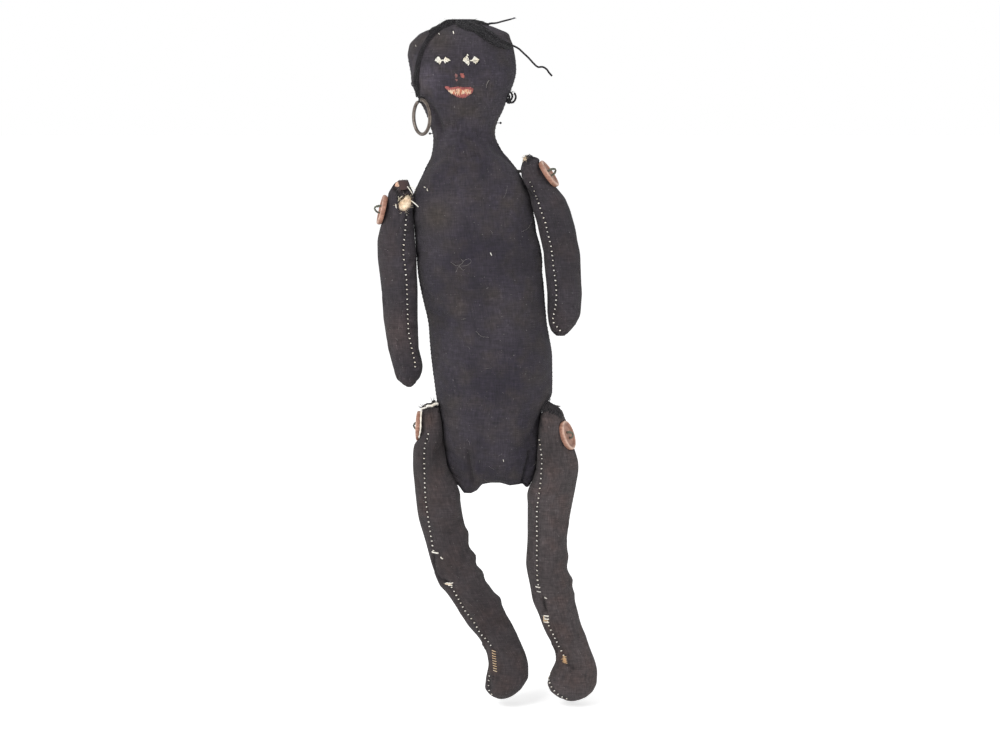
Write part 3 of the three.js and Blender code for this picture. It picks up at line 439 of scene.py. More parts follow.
def add_strands(name, strands, material, sides):
    """One mesh of many closed tubes. A strand is a path and its radius, or a radius at each point."""
    points, faces, uv = [], [], []
    count = 0
    turns = np.arange(sides) / sides
    angles = np.arange(sides) * FULL_TURN / sides
    cosines, sines = np.cos(angles)[None, :, None], np.sin(angles)[None, :, None]
    for path, radius in strands:
        path = np.asarray(path, float)
        radii = np.broadcast_to(np.asarray(radius, float), len(path))
        _, side, other = frames_along(path)
        ring = side[:, None] * cosines + other[:, None] * sines
        points.append((path[:, None] + ring * radii[:, None, None]).reshape(-1, 3))
        along = lengths_along(path) / MM
        uv.append(np.stack(np.broadcast_arrays(along[:, None], turns), -1).reshape(-1, 2))
        faces += tube_faces(len(path), sides, count)
        faces.append(tuple(range(count + sides - 1, count - 1, -1)))
        last = count + (len(path) - 1) * sides
        faces.append(tuple(range(last, last + sides)))
        count += len(path) * sides
    return add_mesh(name, np.concatenate(points), faces, material, np.concatenate(uv))


def sew(name, strands, material, sides, body, slot, *nodes):
    """A piece of strands on its body, with the solids that it stands for hidden."""
    finish_piece(add_strands(name, strands, material, sides), body, slot, *nodes)


YARN_PITCH = 2.6 * MM
PLY_SHARE = 0.56
NO_TAPER = ([0, 1], [1, 1])


def plied(path, radius, plies=2, pitch=YARN_PITCH, taper=NO_TAPER):
    """The strands of a twisted yarn along a path."""
    path = even_path(np.asarray(path, float), pitch / 9)
    _, side, other = frames_along(path)
    turn = lengths_along(path) / pitch * FULL_TURN
    size = np.interp(np.linspace(0, 1, len(path)), *taper)
    ply_radius = radius * PLY_SHARE
    strands = []
    for k in range(plies):
        angle = turn + FULL_TURN * k / plies
        off = side * np.cos(angle)[:, None] + other * np.sin(angle)[:, None]
        strands.append((path + off * (radius - ply_radius) * size[:, None], ply_radius * size))
    return strands


# Cord
tail_path = spline([TAIL_LEAVES + Vector(p) * MM for p in TAIL_ROUTE], 90)
tail = add_strands("hair_tail_cord", plied(tail_path, TAIL_DIAMETER / 2, 3), "black_yarn", 7)
finish_piece(tail, "torso", "hair_yarn", "hair_tail_left")


# Soft forms, as rows of points round an upright middle, from the bottom to the top

def measure(nodes, heights):
    """Left, right, front and back of CAD nodes at some heights, from level cuts of their meshes."""
    edges = []
    for node in nodes:
        mesh = frame["nodes"][node].data
        corners = np.array([v.co for v in mesh.vertices])
        edges.append(corners[np.array([e.vertices[:] for e in mesh.edges])])
    edges = np.concatenate(edges)
    low = edges[:, :, 2].min(1)
    high = edges[:, :, 2].max(1)
    found = []
    for z in heights:
        cut = edges[(low < z) & (high > z)]
        share = (z - cut[:, 0, 2]) / (cut[:, 1, 2] - cut[:, 0, 2])
        at = cut[:, 0] + (cut[:, 1] - cut[:, 0]) * share[:, None]
        found.append([at[:, 0].min(), at[:, 0].max(), at[:, 1].min(), at[:, 1].max()])
    return np.array(found)


def smoothed(values, width):
    """Values drawn level with their neighbours, the ends kept."""
    reach = int(3 * width)
    weights = np.exp(-0.5 * (np.arange(-reach, reach + 1) / width) ** 2)
    start = 2 * values[:1] - values[reach:0:-1]
    end = 2 * values[-1:] - values[-2:-reach - 2:-1]
    padded = np.concatenate([start, values, end])
    return np.stack([np.convolve(padded[:, k], weights / weights.sum(), "valid")
                     for k in range(values.shape[1])], 1)


def lumps(points, size, seed):
    """Smooth noise from -1 to 1 at each point, with bumps of about the given size."""
    flat = points.reshape(-1, 3) / size + seed
    values = [noise.noise(Vector(p)) for p in flat]
    return np.array(values).reshape(points.shape[:-1])


def distance_to(x, y, line):
    """The distance in pixels from places in the picture to a line of pixel points."""
    best = np.full(x.shape, np.inf)
    for (ax, ay), (bx, by) in zip(line[:-1], line[1:]):
        length = max((bx - ax) ** 2 + (by - ay) ** 2, 1e-9)
        t = np.clip(((x - ax) * (bx - ax) + (y - ay) * (by - ay)) / length, 0, 1)
        best = np.minimum(best, np.hypot(x - ax - t * (bx - ax), y - ay - t * (by - ay)))
    return best


def inside(x, y, outline):
    """Which places in the picture lie inside an outline of pixel points."""
    result = np.zeros(x.shape, bool)
    for (ax, ay), (bx, by) in zip(outline, outline[1:] + outline[:1]):
        crosses = (ay > y) != (by > y)
        result ^= crosses & (x < ax + (bx - ax) * (y - ay) / (by - ay + 1e-12))
    return result


END_CROWDING = 0.86
END_MARGIN = 0.02 * MM
ROW_SMOOTHING = 2.2
FACE_LIMIT = 0.02
PRESS_DEPTH = 0.2 * MM
PRESS_EDGE = 0.35 * MM


class Soft:
    """A stuffed form: points in rows from bottom to top, each row once round from the left side."""

    def __init__(self, name, nodes, facets, rows, columns, pinch=1.0):
        self.name = name
        low = min(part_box(n)[0].z for n in nodes)
        high = max(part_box(n)[1].z for n in nodes)
        t = np.linspace(0, 1, rows)
        t = t - END_CROWDING * np.sin(FULL_TURN * t) / FULL_TURN
        heights = low + END_MARGIN + (high - low - 2 * END_MARGIN) * t
        sides = smoothed(measure(nodes, heights), ROW_SMOOTHING)
        left, right, front, back = sides.T
        flat_share = 1 / max(abs(math.sin(FULL_TURN * k / facets)) for k in range(facets))
        angle = np.arange(columns) * FULL_TURN / columns
        out = np.sign(np.sin(angle)) * np.abs(np.sin(angle)) ** pinch
        half_x = (right - left) / 2
        half_y = (back - front) / 2 * flat_share
        x = ((left + right) / 2)[:, None] + half_x[:, None] * np.cos(angle)
        y = ((front + back) / 2)[:, None] - half_y[:, None] * out
        z = np.broadcast_to(heights[:, None], x.shape)
        self.points = np.stack([x, y, z], -1)

    def start_fields(self):
        """Starts the cloth's fields, each with one value at each point."""
        shape = self.points.shape[:2]
        self.fields = {name: np.zeros(shape) for name in ("stain", "shade", "pale")}
        self.hole = np.zeros(shape, bool)

    def raise_field(self, field, values):
        self.fields[field] = np.maximum(self.fields[field], values)

    def normals(self):
        around = np.roll(self.points, -1, 1) - np.roll(self.points, 1, 1)
        up = np.gradient(self.points, axis=0)
        square = np.cross(up, around)
        return square / (np.linalg.norm(square, axis=2)[..., None] + 1e-12)

    def facing(self):
        """How much each point faces the camera, from 0 to 1."""
        return np.clip(self.normals() @ np.array(view_back) * 3, 0, 1)

    def pixels(self):
        return pixels_of(self.points)

    def spot(self, pixel, width):
        """How near each point is seen to a pixel, from 0 to 1."""
        x, y = self.pixels()
        return np.exp(-(np.hypot(x - pixel[0], y - pixel[1]) / width) ** 2)

    def move_out(self, amount):
        self.points = self.points + self.normals() * amount[..., None]

    def roughen(self, size, depth, seed, edge_share=0.3):
        """Raises and sinks the cloth a little, and less at its outline than on its faces."""
        flat = edge_share + (1 - edge_share) * np.abs(self.normals()[..., 1])
        self.move_out(lumps(self.points, size, seed) * depth * flat)

    def work(self, marks):
        """Puts marks on the form in their order: the name of a way below and what it takes."""
        for way, *given in marks:
            getattr(self, way)(*given)

    def crease(self, line, depth, width, shade=0.0):
        """Presses a groove along a line of pixels, some millimetres deep, or raises a ridge, and paints
        shade along it.
        """
        near = np.exp(-(distance_to(*self.pixels(), line) / width) ** 2)
        seen = self.facing()
        self.move_out(-near * seen * (depth * MM))
        self.raise_field("shade", near * seen * shade)

    def bump(self, pixel, height, width):
        """Raises a soft bump round a pixel, also where the form's edge is."""
        self.move_out(self.spot(pixel, width) * (height * MM))

    def slope(self, corner, reach, depth):
        """Lowers the form above a pixel and to its right, more with the way from it."""
        x, y = self.pixels()
        share = np.clip((x - corner[0]) / reach[0], 0, 1) * np.clip((corner[1] - y) / reach[1], 0, 1)
        self.points[..., 2] -= depth * MM * share

    def paint(self, field, pixel, width, amount):
        """Raises a field in a soft spot round a pixel."""
        self.raise_field(field, self.spot(pixel, width) * amount * self.facing())

    def open_up(self, outline):
        """Leaves out the cloth inside an outline of pixels on the front."""
        x, y = self.pixels()
        self.hole |= inside(x, y, outline) & (self.facing() > FACE_LIMIT)

    def press(self, centre, normal, radius):
        """Presses the form in behind a disc that is pulled into it."""
        away = self.points - np.array(centre)
        out = away @ np.array(normal)
        across = np.linalg.norm(away - out[..., None] * np.array(normal), axis=2)
        near = 1 / (1 + np.exp((across - radius) / PRESS_EDGE))
        sunk = np.clip(out + PRESS_DEPTH, 0, None) * near
        self.points = self.points - sunk[..., None] * np.array(normal)

    def faces(self, holes=True):
        rows, columns = self.points.shape[:2]
        found = tube_faces(rows, columns, turned=True)
        if holes:
            torn = (self.hole | np.roll(self.hole, -1, 1) | np.roll(self.hole, -1, 0))[:-1].ravel()
            found = [face for face, is_torn in zip(found, torn) if not is_torn]
        for low, turned in ((0, False), ((rows - 1) * columns, True)):
            half = columns // 2
            caps = [(low, low + 1, low + columns - 1), (low + half, low + half + 1, low + half - 1)]
            caps += [(low + c, low + c + 1, low + columns - c - 1, low + columns - c)
                     for c in range(1, half - 1)]
            found += [tuple(reversed(f)) if turned else f for f in caps]
        return found

    def uv(self):
        """Cloth coordinates in millimetres: across from the middle of each panel, and up."""
        steps = np.linalg.norm(self.points - np.roll(self.points, 1, 1), axis=2)
        around = np.cumsum(steps, 1)
        front = self.points.shape[1] // 4
        u = around - around[:, front][:, None]
        up = lengths_along(self.points[:, front])
        return np.stack([u, np.broadcast_to(up[:, None], u.shape)], -1).reshape(-1, 2) / MM

    def make(self, material):
        """The form's object, and the tree that finds its surface from rays."""
        flat = self.points.reshape(-1, 3)
        obj = add_mesh(self.name, flat, self.faces(), material, self.uv())
        for name, values in self.fields.items():
            set_attribute(obj, name, values)
        self.tree = BVHTree.FromPolygons([tuple(p) for p in flat], self.faces(False))
        return obj

    def at(self, x, y, lift=0.0):
        """The point that the camera sees at a pixel, lifted off the surface, and its normal."""
        place, normal, _, _ = self.tree.ray_cast(view_place, pixel_ray(x, y))
        if place is None:
            place, normal, _, _ = self.tree.find_nearest(pixel_point(x, y))
        return place + normal * lift, normal

    def near(self, point, lift=0.0):
        """The point of the surface nearest to a point, lifted off it, and its normal."""
        place, normal, _, _ = self.tree.find_nearest(Vector(point))
        return place + normal * lift, normal

    def lay(self, pixels, lift):
        """A row of pixels laid on the surface, lifted off it."""
        return point_array(self.at(x, y, lift)[0] for x, y in pixels)

    def line(self, pixels, step):
        """A line of pixels laid on the surface: points a step apart and their normals."""
        points = even_path(self.lay(spline(pixels, 8 * len(pixels)), 0), step)
        places, normals = zip(*[self.near(p) for p in points])
        return point_array(places), point_array(normals)


# Cloth simulation of the stuffed forms
SIM_SCALE = 8
SIM_FRAMES = 16
HELD_END_ROWS = 3
DRIFT_SMOOTHING = 4
CLOTH_SETTINGS = {
    "quality": 4, "mass": 0.15, "tension_stiffness": 20, "compression_stiffness": 20,
    "shear_stiffness": 8, "bending_stiffness": 0.8, "vertex_group_mass": "held", "use_pressure": True,
}


def refined(points):
    """Twice as many rows and columns, on smooth curves through the old points."""
    before, after = np.roll(points, 1, 1), np.roll(points, -1, 1)
    middle = (9 * (points + after) - before - np.roll(points, -2, 1)) / 16
    wide = np.stack([points, middle], 2).reshape(points.shape[0], -1, 3)
    ends = np.concatenate([2 * wide[:1] - wide[1:2], wide, 2 * wide[-1:] - wide[-2:-1]])
    halves = (9 * (ends[1:-2] + ends[2:-1]) - ends[:-3] - ends[3:]) / 16
    tall = np.empty((2 * len(wide) - 1, wide.shape[1], 3))
    tall[::2] = wide
    tall[1::2] = halves
    return tall


def settle(form, pressure, growth, cap, side_share, held_columns):
    """Lets a form's cloth settle round its stuffing, no point moving further than the cap."""
    rows, columns = form.points.shape[:2]
    start = form.points.reshape(-1, 3)
    obj = add_mesh("settling", start * SIM_SCALE, form.faces(False), "body_cotton")
    held = obj.vertex_groups.new(name="held")
    for r in range(rows):
        ends = r < HELD_END_ROWS or r >= rows - HELD_END_ROWS
        for c in range(columns) if ends else held_columns:
            held.add([r * columns + c], 1.0, "REPLACE")
    cloth = obj.modifiers.new("cloth", "CLOTH")
    for key, value in CLOTH_SETTINGS.items():
        setattr(cloth.settings, key, value)
    cloth.settings.shrink_min = -growth
    cloth.settings.shrink_max = -growth
    cloth.settings.uniform_pressure_force = pressure
    cloth.settings.effector_weights.gravity = 0
    cloth.collision_settings.use_collision = False
    cloth.point_cache.frame_start = 1
    cloth.point_cache.frame_end = SIM_FRAMES
    for step in range(1, SIM_FRAMES + 1):
        bpy.context.scene.frame_set(step)
    shown = obj.evaluated_get(bpy.context.evaluated_depsgraph_get()).data
    settled = np.zeros(len(shown.vertices) * 3)
    shown.vertices.foreach_get("co", settled)
    moved = (settled.reshape(-1, 3) / SIM_SCALE - start).reshape(rows, columns, 3)
    moved -= smoothed(moved.mean(1), DRIFT_SMOOTHING)[:, None]
    moved[..., 0] *= side_share
    moved = moved.reshape(-1, 3)
    far = np.linalg.norm(moved, axis=1)[:, None]
    moved *= np.minimum(1, cap / np.maximum(far, 1e-9))
    bpy.data.objects.remove(obj)
    bpy.context.scene.frame_set(1)
    form.points = (start + moved).reshape(rows, columns, 3)


FULLNESS = 0.1 * MM
SIDE_MARGIN = 0.1 * MM
SIDE_SMOOTHING = 1.5
END_ROWS = 5
SEAM_NEARNESS = 0.42


# How much further out than its solid each side of a form lies: pairs of a pixel row and millimetres
SIDES = {
    "body": (
        [(24, 0), (30, 1), (42, 0.6), (54, 0.5), (70, 0), (112, -0.5), (130, 0), (158, 0), (166, 0.8),
         (182, 0.5), (190, 1), (198, 1.2), (206, 0.7), (214, 0.3), (230, 0.15), (250, 0.3), (275, 0.5),
         (300, 0.5), (324, -0.3), (372, 0.3), (452, 0.4), (464, 1), (474, 1.8), (480, 2.6), (485, 3.6),
         (491, 2.6)],
        [(24, 0), (27, 1.2), (31, 2.4), (38, 1.2), (54, 0.6), (66, 1.1), (80, 1.1), (100, 0.7),
         (114, 0.5), (126, -0.5), (138, -1), (150, -0.5), (160, 0.4), (168, 0.9), (178, 0.5),
         (190, 0.2), (206, 0.1), (222, 0.4), (232, 0.2), (240, 1), (246, 1.6), (260, 1.9), (272, 0.9),
         (282, 1.1), (300, 0.6), (324, 0.1), (348, 0.6), (372, 0.7), (386, 1), (397, 2.2), (404, 2.2),
         (410, 1.2), (416, 0.5), (434, 0.4), (460, 0.3), (472, 0.7), (484, 0.5)],
    ),
    "right_arm": (
        [(230, 0), (300, 0.4), (372, 0.5), (380, 0)],
        [(182, 0), (190, 1.4), (197, 1.8), (204, 1.2), (214, 0.4), (250, 0.6), (270, 0.2), (290, 0.4),
         (348, 0.5), (360, 1), (372, 1.2), (382, 0)],
    ),
    "left_arm": (
        [(162, 0), (174, 0.4), (186, 0.8), (204, 1), (211, 0.5), (220, -0.2), (232, -0.4), (243, -0.9),
         (252, -1.2), (262, -0.5), (276, 0), (334, 0)],
        [(180, 0), (198, 1), (240, 1), (250, 1.4), (262, 1), (300, 1), (316, 1.4), (330, 0)],
    ),
    "right_leg": (
        [(418, 0), (440, 1.4), (452, 0.6), (480, 0)],
        [(402, 0.4), (412, 0.8), (420, 1), (432, 0.6), (460, 0.6), (470, 1.2), (482, 2), (500, 0)],
    ),
    "left_leg": (
        [(402, 0), (407, 1), (414, 1.4), (430, 1.4), (446, 0.9), (460, 0.8), (472, 1.2), (486, 1.2),
         (502, 0)],
        [(400, -2.4), (405, -2), (410, -0.5), (416, 0.3), (422, 0.3), (440, 0), (460, 1), (480, 0)],
    ),
}
# Where each limb rests against the body: the side, and the pixel rows from its top to its end
LEFT_SIDE, RIGHT_SIDE = -1, 1
CONTACTS = {
    "right_arm": (RIGHT_SIDE, 192, 300),
    "left_arm": (LEFT_SIDE, 172, 230),
    "right_leg": (RIGHT_SIDE, 402, 486),
    "left_leg": (LEFT_SIDE, 402, 486),
}
CONTACT_SHIFT = 4 * MM
CONTACT_START_ROWS = 8
CONTACT_END_ROWS = 36


def side_shares(form):
    """How far each point is from its row's left side to its right side, from 0 to 1."""
    x = form.points[..., 0]
    left, right = x.min(1)[:, None], x.max(1)[:, None]
    return (x - left) / (right - left)


def pixel_rows(form):
    return form.pixels()[1].mean(1)


def rest_on_body(form, side, top, low):
    """Brings the side of a limb that rests against the body a little forward."""
    share = side_shares(form)
    if side == LEFT_SIDE:
        share = 1 - share
    rows = [top - CONTACT_START_ROWS, top, low, low + CONTACT_END_ROWS]
    near = np.interp(pixel_rows(form), rows, [0, 1, 1, 0])
    form.points[..., 1] -= CONTACT_SHIFT * near[:, None] * share**2


def fit_sides(form, nodes, extra):
    """Draws a form's sides to where its solids have theirs, and a little fuller."""
    low = min(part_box(n)[0].z for n in nodes) + SIDE_MARGIN
    high = max(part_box(n)[1].z for n in nodes) - SIDE_MARGIN
    heights = np.clip(form.points[..., 2].mean(1), low, high)
    sides = smoothed(measure(nodes, heights), SIDE_SMOOTHING)
    share = side_shares(form)
    out = [FULLNESS + MM * np.interp(pixel_rows(form), *zip(*pairs)) for pairs in extra]
    left, right = sides[:, 0] - out[0], sides[:, 1] + out[1]
    wanted = left[:, None] + (right - left)[:, None] * share
    count = np.arange(len(share))
    hold = np.clip(np.minimum(count, count[::-1]) / END_ROWS, 0, 1)[:, None]
    x = form.points[..., 0]
    form.points[..., 0] = x + (wanted - x) * hold


def darken_sides(form, amount):
    """Paints shade on the cloth beside the two side seams, where the form turns away at its outline."""
    columns = form.points.shape[1]
    beside = np.sin(np.arange(columns) * FULL_TURN / columns)
    form.raise_field("shade", amount * np.exp(-(beside / SEAM_NEARNESS) ** 2))


# Body and head
BODY_SHAPE = {"facets": 16, "rows": 130, "columns": 84, "pinch": 1.1}
LIMB_SHAPE = {"facets": 10, "rows": 96, "columns": 40}
BODY_SETTLE = {"pressure": 3.0, "growth": 0.03, "cap": 2.2 * MM, "side_share": 0.4}
LIMB_SETTLE = {"pressure": 3.0, "growth": 0.03, "cap": 1.2 * MM, "side_share": 1.0}
BODY_WAVES = (26 * MM, 0.9 * MM)
BODY_RIPPLES = (8 * MM, 0.22 * MM)
BODY_SIDE_SHADE = 0.42
LIMB_WAVES = (15 * MM, 0.6 * MM)
LIMB_RIPPLES = (6 * MM, 0.16 * MM)
LIMB_SIDE_SHADE = 0.34

BODY_NODES = ["body_front_cloth", "body_back_cloth"]
BODY_CREASES = [
    ("crease", [(529.4, 451), (528.9, 456), (526, 468), (521.7, 483)], 1.8, 1.3, 0.6),
    ("crease", [(536, 440), (534, 462), (528, 484)], -0.9, 2.6),
    ("crease", [(467, 452), (469, 464), (472.5, 482)], 1.7, 2.4, 0.4),
    ("crease", [(424, 101), (432, 108), (438, 118), (441, 130)], 1.3, 2.6, 0.3),
    ("crease", [(430, 124), (437, 131), (440, 140)], -0.8, 3.0),
    ("crease", [(416, 200), (424, 186)], 0.8, 2.5, 0.25),
]
BODY_PATCHES = [
    ("paint", "stain", (437, 216), 16, 0.8),
    ("paint", "stain", (440, 40), 14, 0.6),
    ("paint", "pale", (428, 78), 14, 0.8),
    ("paint", "pale", (470, 128), 16, 0.1),
    ("paint", "pale", (498, 74), 13, 0.25),
    ("paint", "shade", (452, 30), 1.4, 0.9),
    ("paint", "shade", (494, 46), 8, 0.45),
    ("paint", "shade", (534, 262), 22, 0.42),
    ("paint", "shade", (538, 310), 22, 0.42),
    ("paint", "shade", (540, 350), 18, 0.3),
    ("paint", "shade", (486, 310), 34, 0.14),
]
BOTTOM_EDGE = [(458, 486), (464, 493), (471, 493), (477, 490), (482, 484), (491, 482.4), (500, 482.4),
               (509.5, 485.3), (519, 484), (523, 484), (527, 487.6), (533, 485)]
BOTTOM_REACH = 20 * MM


def shape_bottom(form):
    """Gives the bottom seam its uneven edge."""
    x, _ = form.pixels()
    edge_x = [p[0] for p in BOTTOM_EDGE]
    edge_z = [pixel_point(*p).z for p in BOTTOM_EDGE]
    target = np.interp(x, edge_x, edge_z)
    low = form.points[..., 2].min()
    near = np.clip(1 - (form.points[..., 2] - low) / BOTTOM_REACH, 0, 1) ** 1.5
    form.points[..., 2] += (target - low) * near


body = Soft("body_cloth", BODY_NODES, **BODY_SHAPE)
body.roughen(*BODY_WAVES, seed=3.1)
settle(body, held_columns=[0, BODY_SHAPE["columns"] // 2], **BODY_SETTLE)
body.points = refined(body.points)
body.start_fields()
fit_sides(body, BODY_NODES, SIDES["body"])
darken_sides(body, BODY_SIDE_SHADE)
shape_bottom(body)
body.work(BODY_CREASES)
body.roughen(*BODY_RIPPLES, seed=7.7)
body.work(BODY_PATCHES)
body_cloth = body.make("body_cotton")
finish_piece(body_cloth, "torso", "body_cloth", *BODY_NODES, "body_stuffing")


# Limbs, with their seams from the top to the toe
SEAMS = {
    "right_arm": [
        [(406.4, 215), (405.2, 230), (403.3, 252), (405.2, 268), (406.6, 283), (407.2, 298),
         (407.8, 319), (408.4, 330), (410, 340), (413, 354), (415, 363), (415, 368.5)],
    ],
    "left_arm": [
        [(530, 182), (535, 193), (539, 204), (542, 213.5), (545.5, 223), (549, 238), (551.4, 248),
         (553.7, 268), (556.3, 288), (556, 303), (553.4, 316.5), (552.8, 321), (555.7, 325),
         (560.6, 331)],
    ],
    "right_leg": [
        [(428.5, 434), (427, 440), (425, 445), (424.3, 456), (424.5, 471), (425.6, 498), (427.8, 515),
         (429.7, 527), (432.5, 545), (434, 553)],
        [(449, 583), (453, 589), (458, 598), (465, 610), (474, 622), (481, 634), (488, 641),
         (493, 649)],
        [(489.6, 676), (488.8, 681), (488.8, 687), (489.8, 691.5), (492.6, 695)],
    ],
    "left_leg": [
        [(539.5, 440), (541, 450), (542, 460), (541, 478), (539, 495), (537, 510), (537, 532),
         (537, 553), (537.3, 575), (538.5, 586)],
        [(547.5, 621), (549.6, 627), (555, 638), (560.5, 649), (564, 656)],
        [(549.2, 672), (549, 680), (552, 687.4), (556.4, 692.6), (562, 696.6), (568, 698.8)],
    ],
}
SEAM_DEPTH = 0.55
SEAM_WIDTH = 1.3
SEAM_SHADE = 0.5
STITCH_PITCH = 3.2 * MM
BUTTON_GAP = 0.3 * MM


def button_place(limb):
    """A button's back centre, its normal, up and side directions, its radius and thickness."""
    mesh = frame["nodes"][f"{limb}_button"].data
    corners = np.array([v.co for v in mesh.vertices])
    _, _, axes = np.linalg.svd(corners - corners.mean(0))
    guess = axes[2]
    outward = 1 if limb.startswith("left") else -1
    if guess[0] * outward < 0:
        guess = -guess
    normals = np.array([p.normal for p in mesh.polygons])
    areas = np.array([p.area for p in mesh.polygons])
    backs = normals @ guess < -0.97
    normal = Vector(-(normals[backs] * areas[backs, None]).sum(0)).normalized()
    turn = Vector((0, 1, 0)).rotation_difference(normal)
    up = turn @ Vector((0, 0, 1))
    side = turn @ Vector((1, 0, 0))
    spans = [corners @ np.array(axis) for axis in (normal, up, side)]
    lows = [float(along.min()) for along in spans]
    highs = [float(along.max()) for along in spans]
    centre = normal * lows[0] + up * ((lows[1] + highs[1]) / 2) + side * ((lows[2] + highs[2]) / 2)
    return centre, normal, up, side, (highs[2] - lows[2]) / 2, highs[0] - lows[0]


def make_limb(name, material, marks):
    """A stuffed limb over its solid, with its marks and its seams pressed in."""
    nodes = [f"{name}_cloth"]
    form = Soft(f"{name}_cloth_tube", nodes, **LIMB_SHAPE)
    form.roughen(*LIMB_WAVES, seed=len(name))
    settle(form, held_columns=[LIMB_SHAPE["columns"] // 4], **LIMB_SETTLE)
    form.points = refined(form.points)
    form.start_fields()
    fit_sides(form, nodes, SIDES[name])
    rest_on_body(form, *CONTACTS[name])
    darken_sides(form, LIMB_SIDE_SHADE)
    form.work(marks)
    for line in SEAMS[name]:
        form.crease(line, SEAM_DEPTH, SEAM_WIDTH, SEAM_SHADE)
    form.roughen(*LIMB_RIPPLES, seed=2.0 + len(name))
    centre, normal, _, _, radius, _ = button_place(name)
    form.press(centre, normal, radius + BUTTON_GAP)
    obj = form.make(material)
    finish_piece(obj, name, "limb_cloth", *nodes)
    return form


RIGHT_ARM_TEAR = [(398.2, 202), (399.6, 198.4), (403, 197), (405.4, 194.4), (408.6, 193.6), (411.4, 196),
                  (412.6, 200), (412.2, 204.5), (410.6, 207.5), (408, 209), (406.2, 211), (402.4, 211.4),
                  (399.4, 210), (397.8, 206)]
WAD_OUTLINE = [(398, 203.4), (399.6, 200.4), (402.8, 198.2), (405.4, 195), (408.4, 193.8), (411.2, 196),
               (412.4, 200.4), (412.2, 205), (410.4, 208), (407.8, 210.2), (404.6, 212.2), (401, 211.6),
               (398.4, 208.4)]
LINING_PATCH = [(394.8, 186.8), (396, 184.6), (398.2, 182.6), (399.8, 183.6), (399.4, 186.6),
                (397, 187.2)]
FLAP_CORNERS = [(398.4, 180.4), (407.8, 180.2), (409.4, 189), (400, 190.4)]
LEFT_ARM_TUFT = [(522.8, 159), (523.8, 157), (526, 156.4), (527.8, 157.4), (526.6, 160.4), (524, 161)]
KNEE_GAP = [(433.6, 555), (433.6, 564), (435, 572.5), (439, 578.4), (447, 582)]
KNEE_TUFT = [(442, 582.8), (446, 583.9), (450, 583.8), (453.2, 582.4), (452.8, 584.4), (449, 585.2),
             (444.6, 584.6)]
SHIN_GAP = [(543.6, 599), (544.4, 605), (545.9, 611)]
SHIN_TUFT = [(543.4, 615.6), (546, 614), (548.8, 616.4), (548.4, 621), (545.6, 623)]
ANKLE_TUFT = [(563.4, 657.6), (564.8, 657), (566.2, 660), (566, 662.8), (564.6, 662.6)]

RIGHT_ARM_MARKS = [
    ("crease", [(396, 190), (399, 194), (398, 199)], 1.4, 2.2, 0.8),
    ("crease", [(402, 184), (405, 191)], 1.0, 2.0, 0.6),
    ("paint", "stain", (401, 187), 7, 0.9),
    ("paint", "pale", (396, 332), 24, 0.3),
    ("paint", "stain", (396, 332), 24, 0.7),
    ("open_up", RIGHT_ARM_TEAR),
]
LEFT_ARM_MARKS = [
    ("crease", [(531, 158), (528, 163)], 0.8, 2.0, 0.6),
    ("paint", "shade", (522, 162), 4, 0.6),
    ("paint", "shade", (531, 192), 8, 0.8),
]
RIGHT_LEG_MARKS = [
    ("paint", "shade", (442, 452), 15, 0.55),
    ("crease", [(423, 408), (430, 404), (436, 404)], 2.0, 3.0, 0.95),
    ("crease", [(422.5, 412), (422.5, 430)], 0.8, 1.6, 0.6),
    ("paint", "stain", (427, 420), 9, 0.9),
    ("paint", "shade", (429, 407.5), 5, 0.75),
    ("crease", KNEE_GAP, 1.5, 0.85, 1.0),
    ("bump", (433, 571), -0.3, 4),
    ("bump", (440, 586), 0.8, 5),
    ("bump", (423.6, 406), 1.0, 4.5),
    ("bump", (503, 694), 1.4, 12),
    ("bump", (466, 533), 1.2, 5),
    ("bump", (474, 556), 1.6, 5),
    ("bump", (482, 572), 1.0, 5),
    ("bump", (498, 599), 1.3, 5),
    ("bump", (472, 545), -0.9, 5),
    ("bump", (484, 581), -0.7, 5),
    ("crease", [(489, 680), (490, 688)], 0.8, 1.6, 0.7),
    ("paint", "stain", (492, 668), 9, 0.9),
]
LEFT_LEG_MARKS = [
    ("slope", (549, 420), (12, 14), 2.2),
    ("paint", "shade", (552, 456), 16, 0.4),
    ("crease", [(545, 408), (549, 404), (556, 407)], 1.2, 2.0, 0.7),
    ("crease", [(548, 415), (553, 409)], 0.7, 1.8, 0.4),
    ("crease", SHIN_GAP, 1.5, 1.2, 1.0),
    ("bump", (566, 556), 0.7, 5),
    ("bump", (567, 568), -0.8, 5),
    ("bump", (571, 580), 1.6, 5),
    ("bump", (573, 593), 0.9, 5),
    ("crease", [(564, 662), (572, 668)], 0.6, 1.8, 0.7),
    ("paint", "shade", (573, 668), 2.5, 0.9),
    ("paint", "stain", (561, 655), 8, 0.8),
]
right_arm = make_limb("right_arm", "arm_cotton", RIGHT_ARM_MARKS)
left_arm = make_limb("left_arm", "arm_cotton", LEFT_ARM_MARKS)
right_leg = make_limb("right_leg", "right_leg_cotton", RIGHT_LEG_MARKS)
left_leg = make_limb("left_leg", "left_leg_cotton", LEFT_LEG_MARKS)
limbs = {"right_arm": right_arm, "left_arm": left_arm, "right_leg": right_leg, "left_leg": left_leg}


# Short threads and fibres laid on the cloth. Lengths in a row are millimetres.
STITCH_ARCH = [(-1.0, -0.8), (-0.72, 0.35), (0, 1.0), (0.72, 0.35), (1.0, -0.8)]
BAR_RISE = 0.45 * MM


def stitch(place, normal, along, half_length, radius, rise, slant):
    """One stitch: a short thread that comes out of the cloth, over the seam and back in."""
    normal = Vector(normal).normalized()
    across = normal.cross(Vector(along)).normalized()
    way = (across + Vector(along).normalized() * slant).normalized()
    points = [Vector(place) + way * (a * half_length) + normal * (b * rise) for a, b in STITCH_ARCH]
    return spline(points, 9), radius


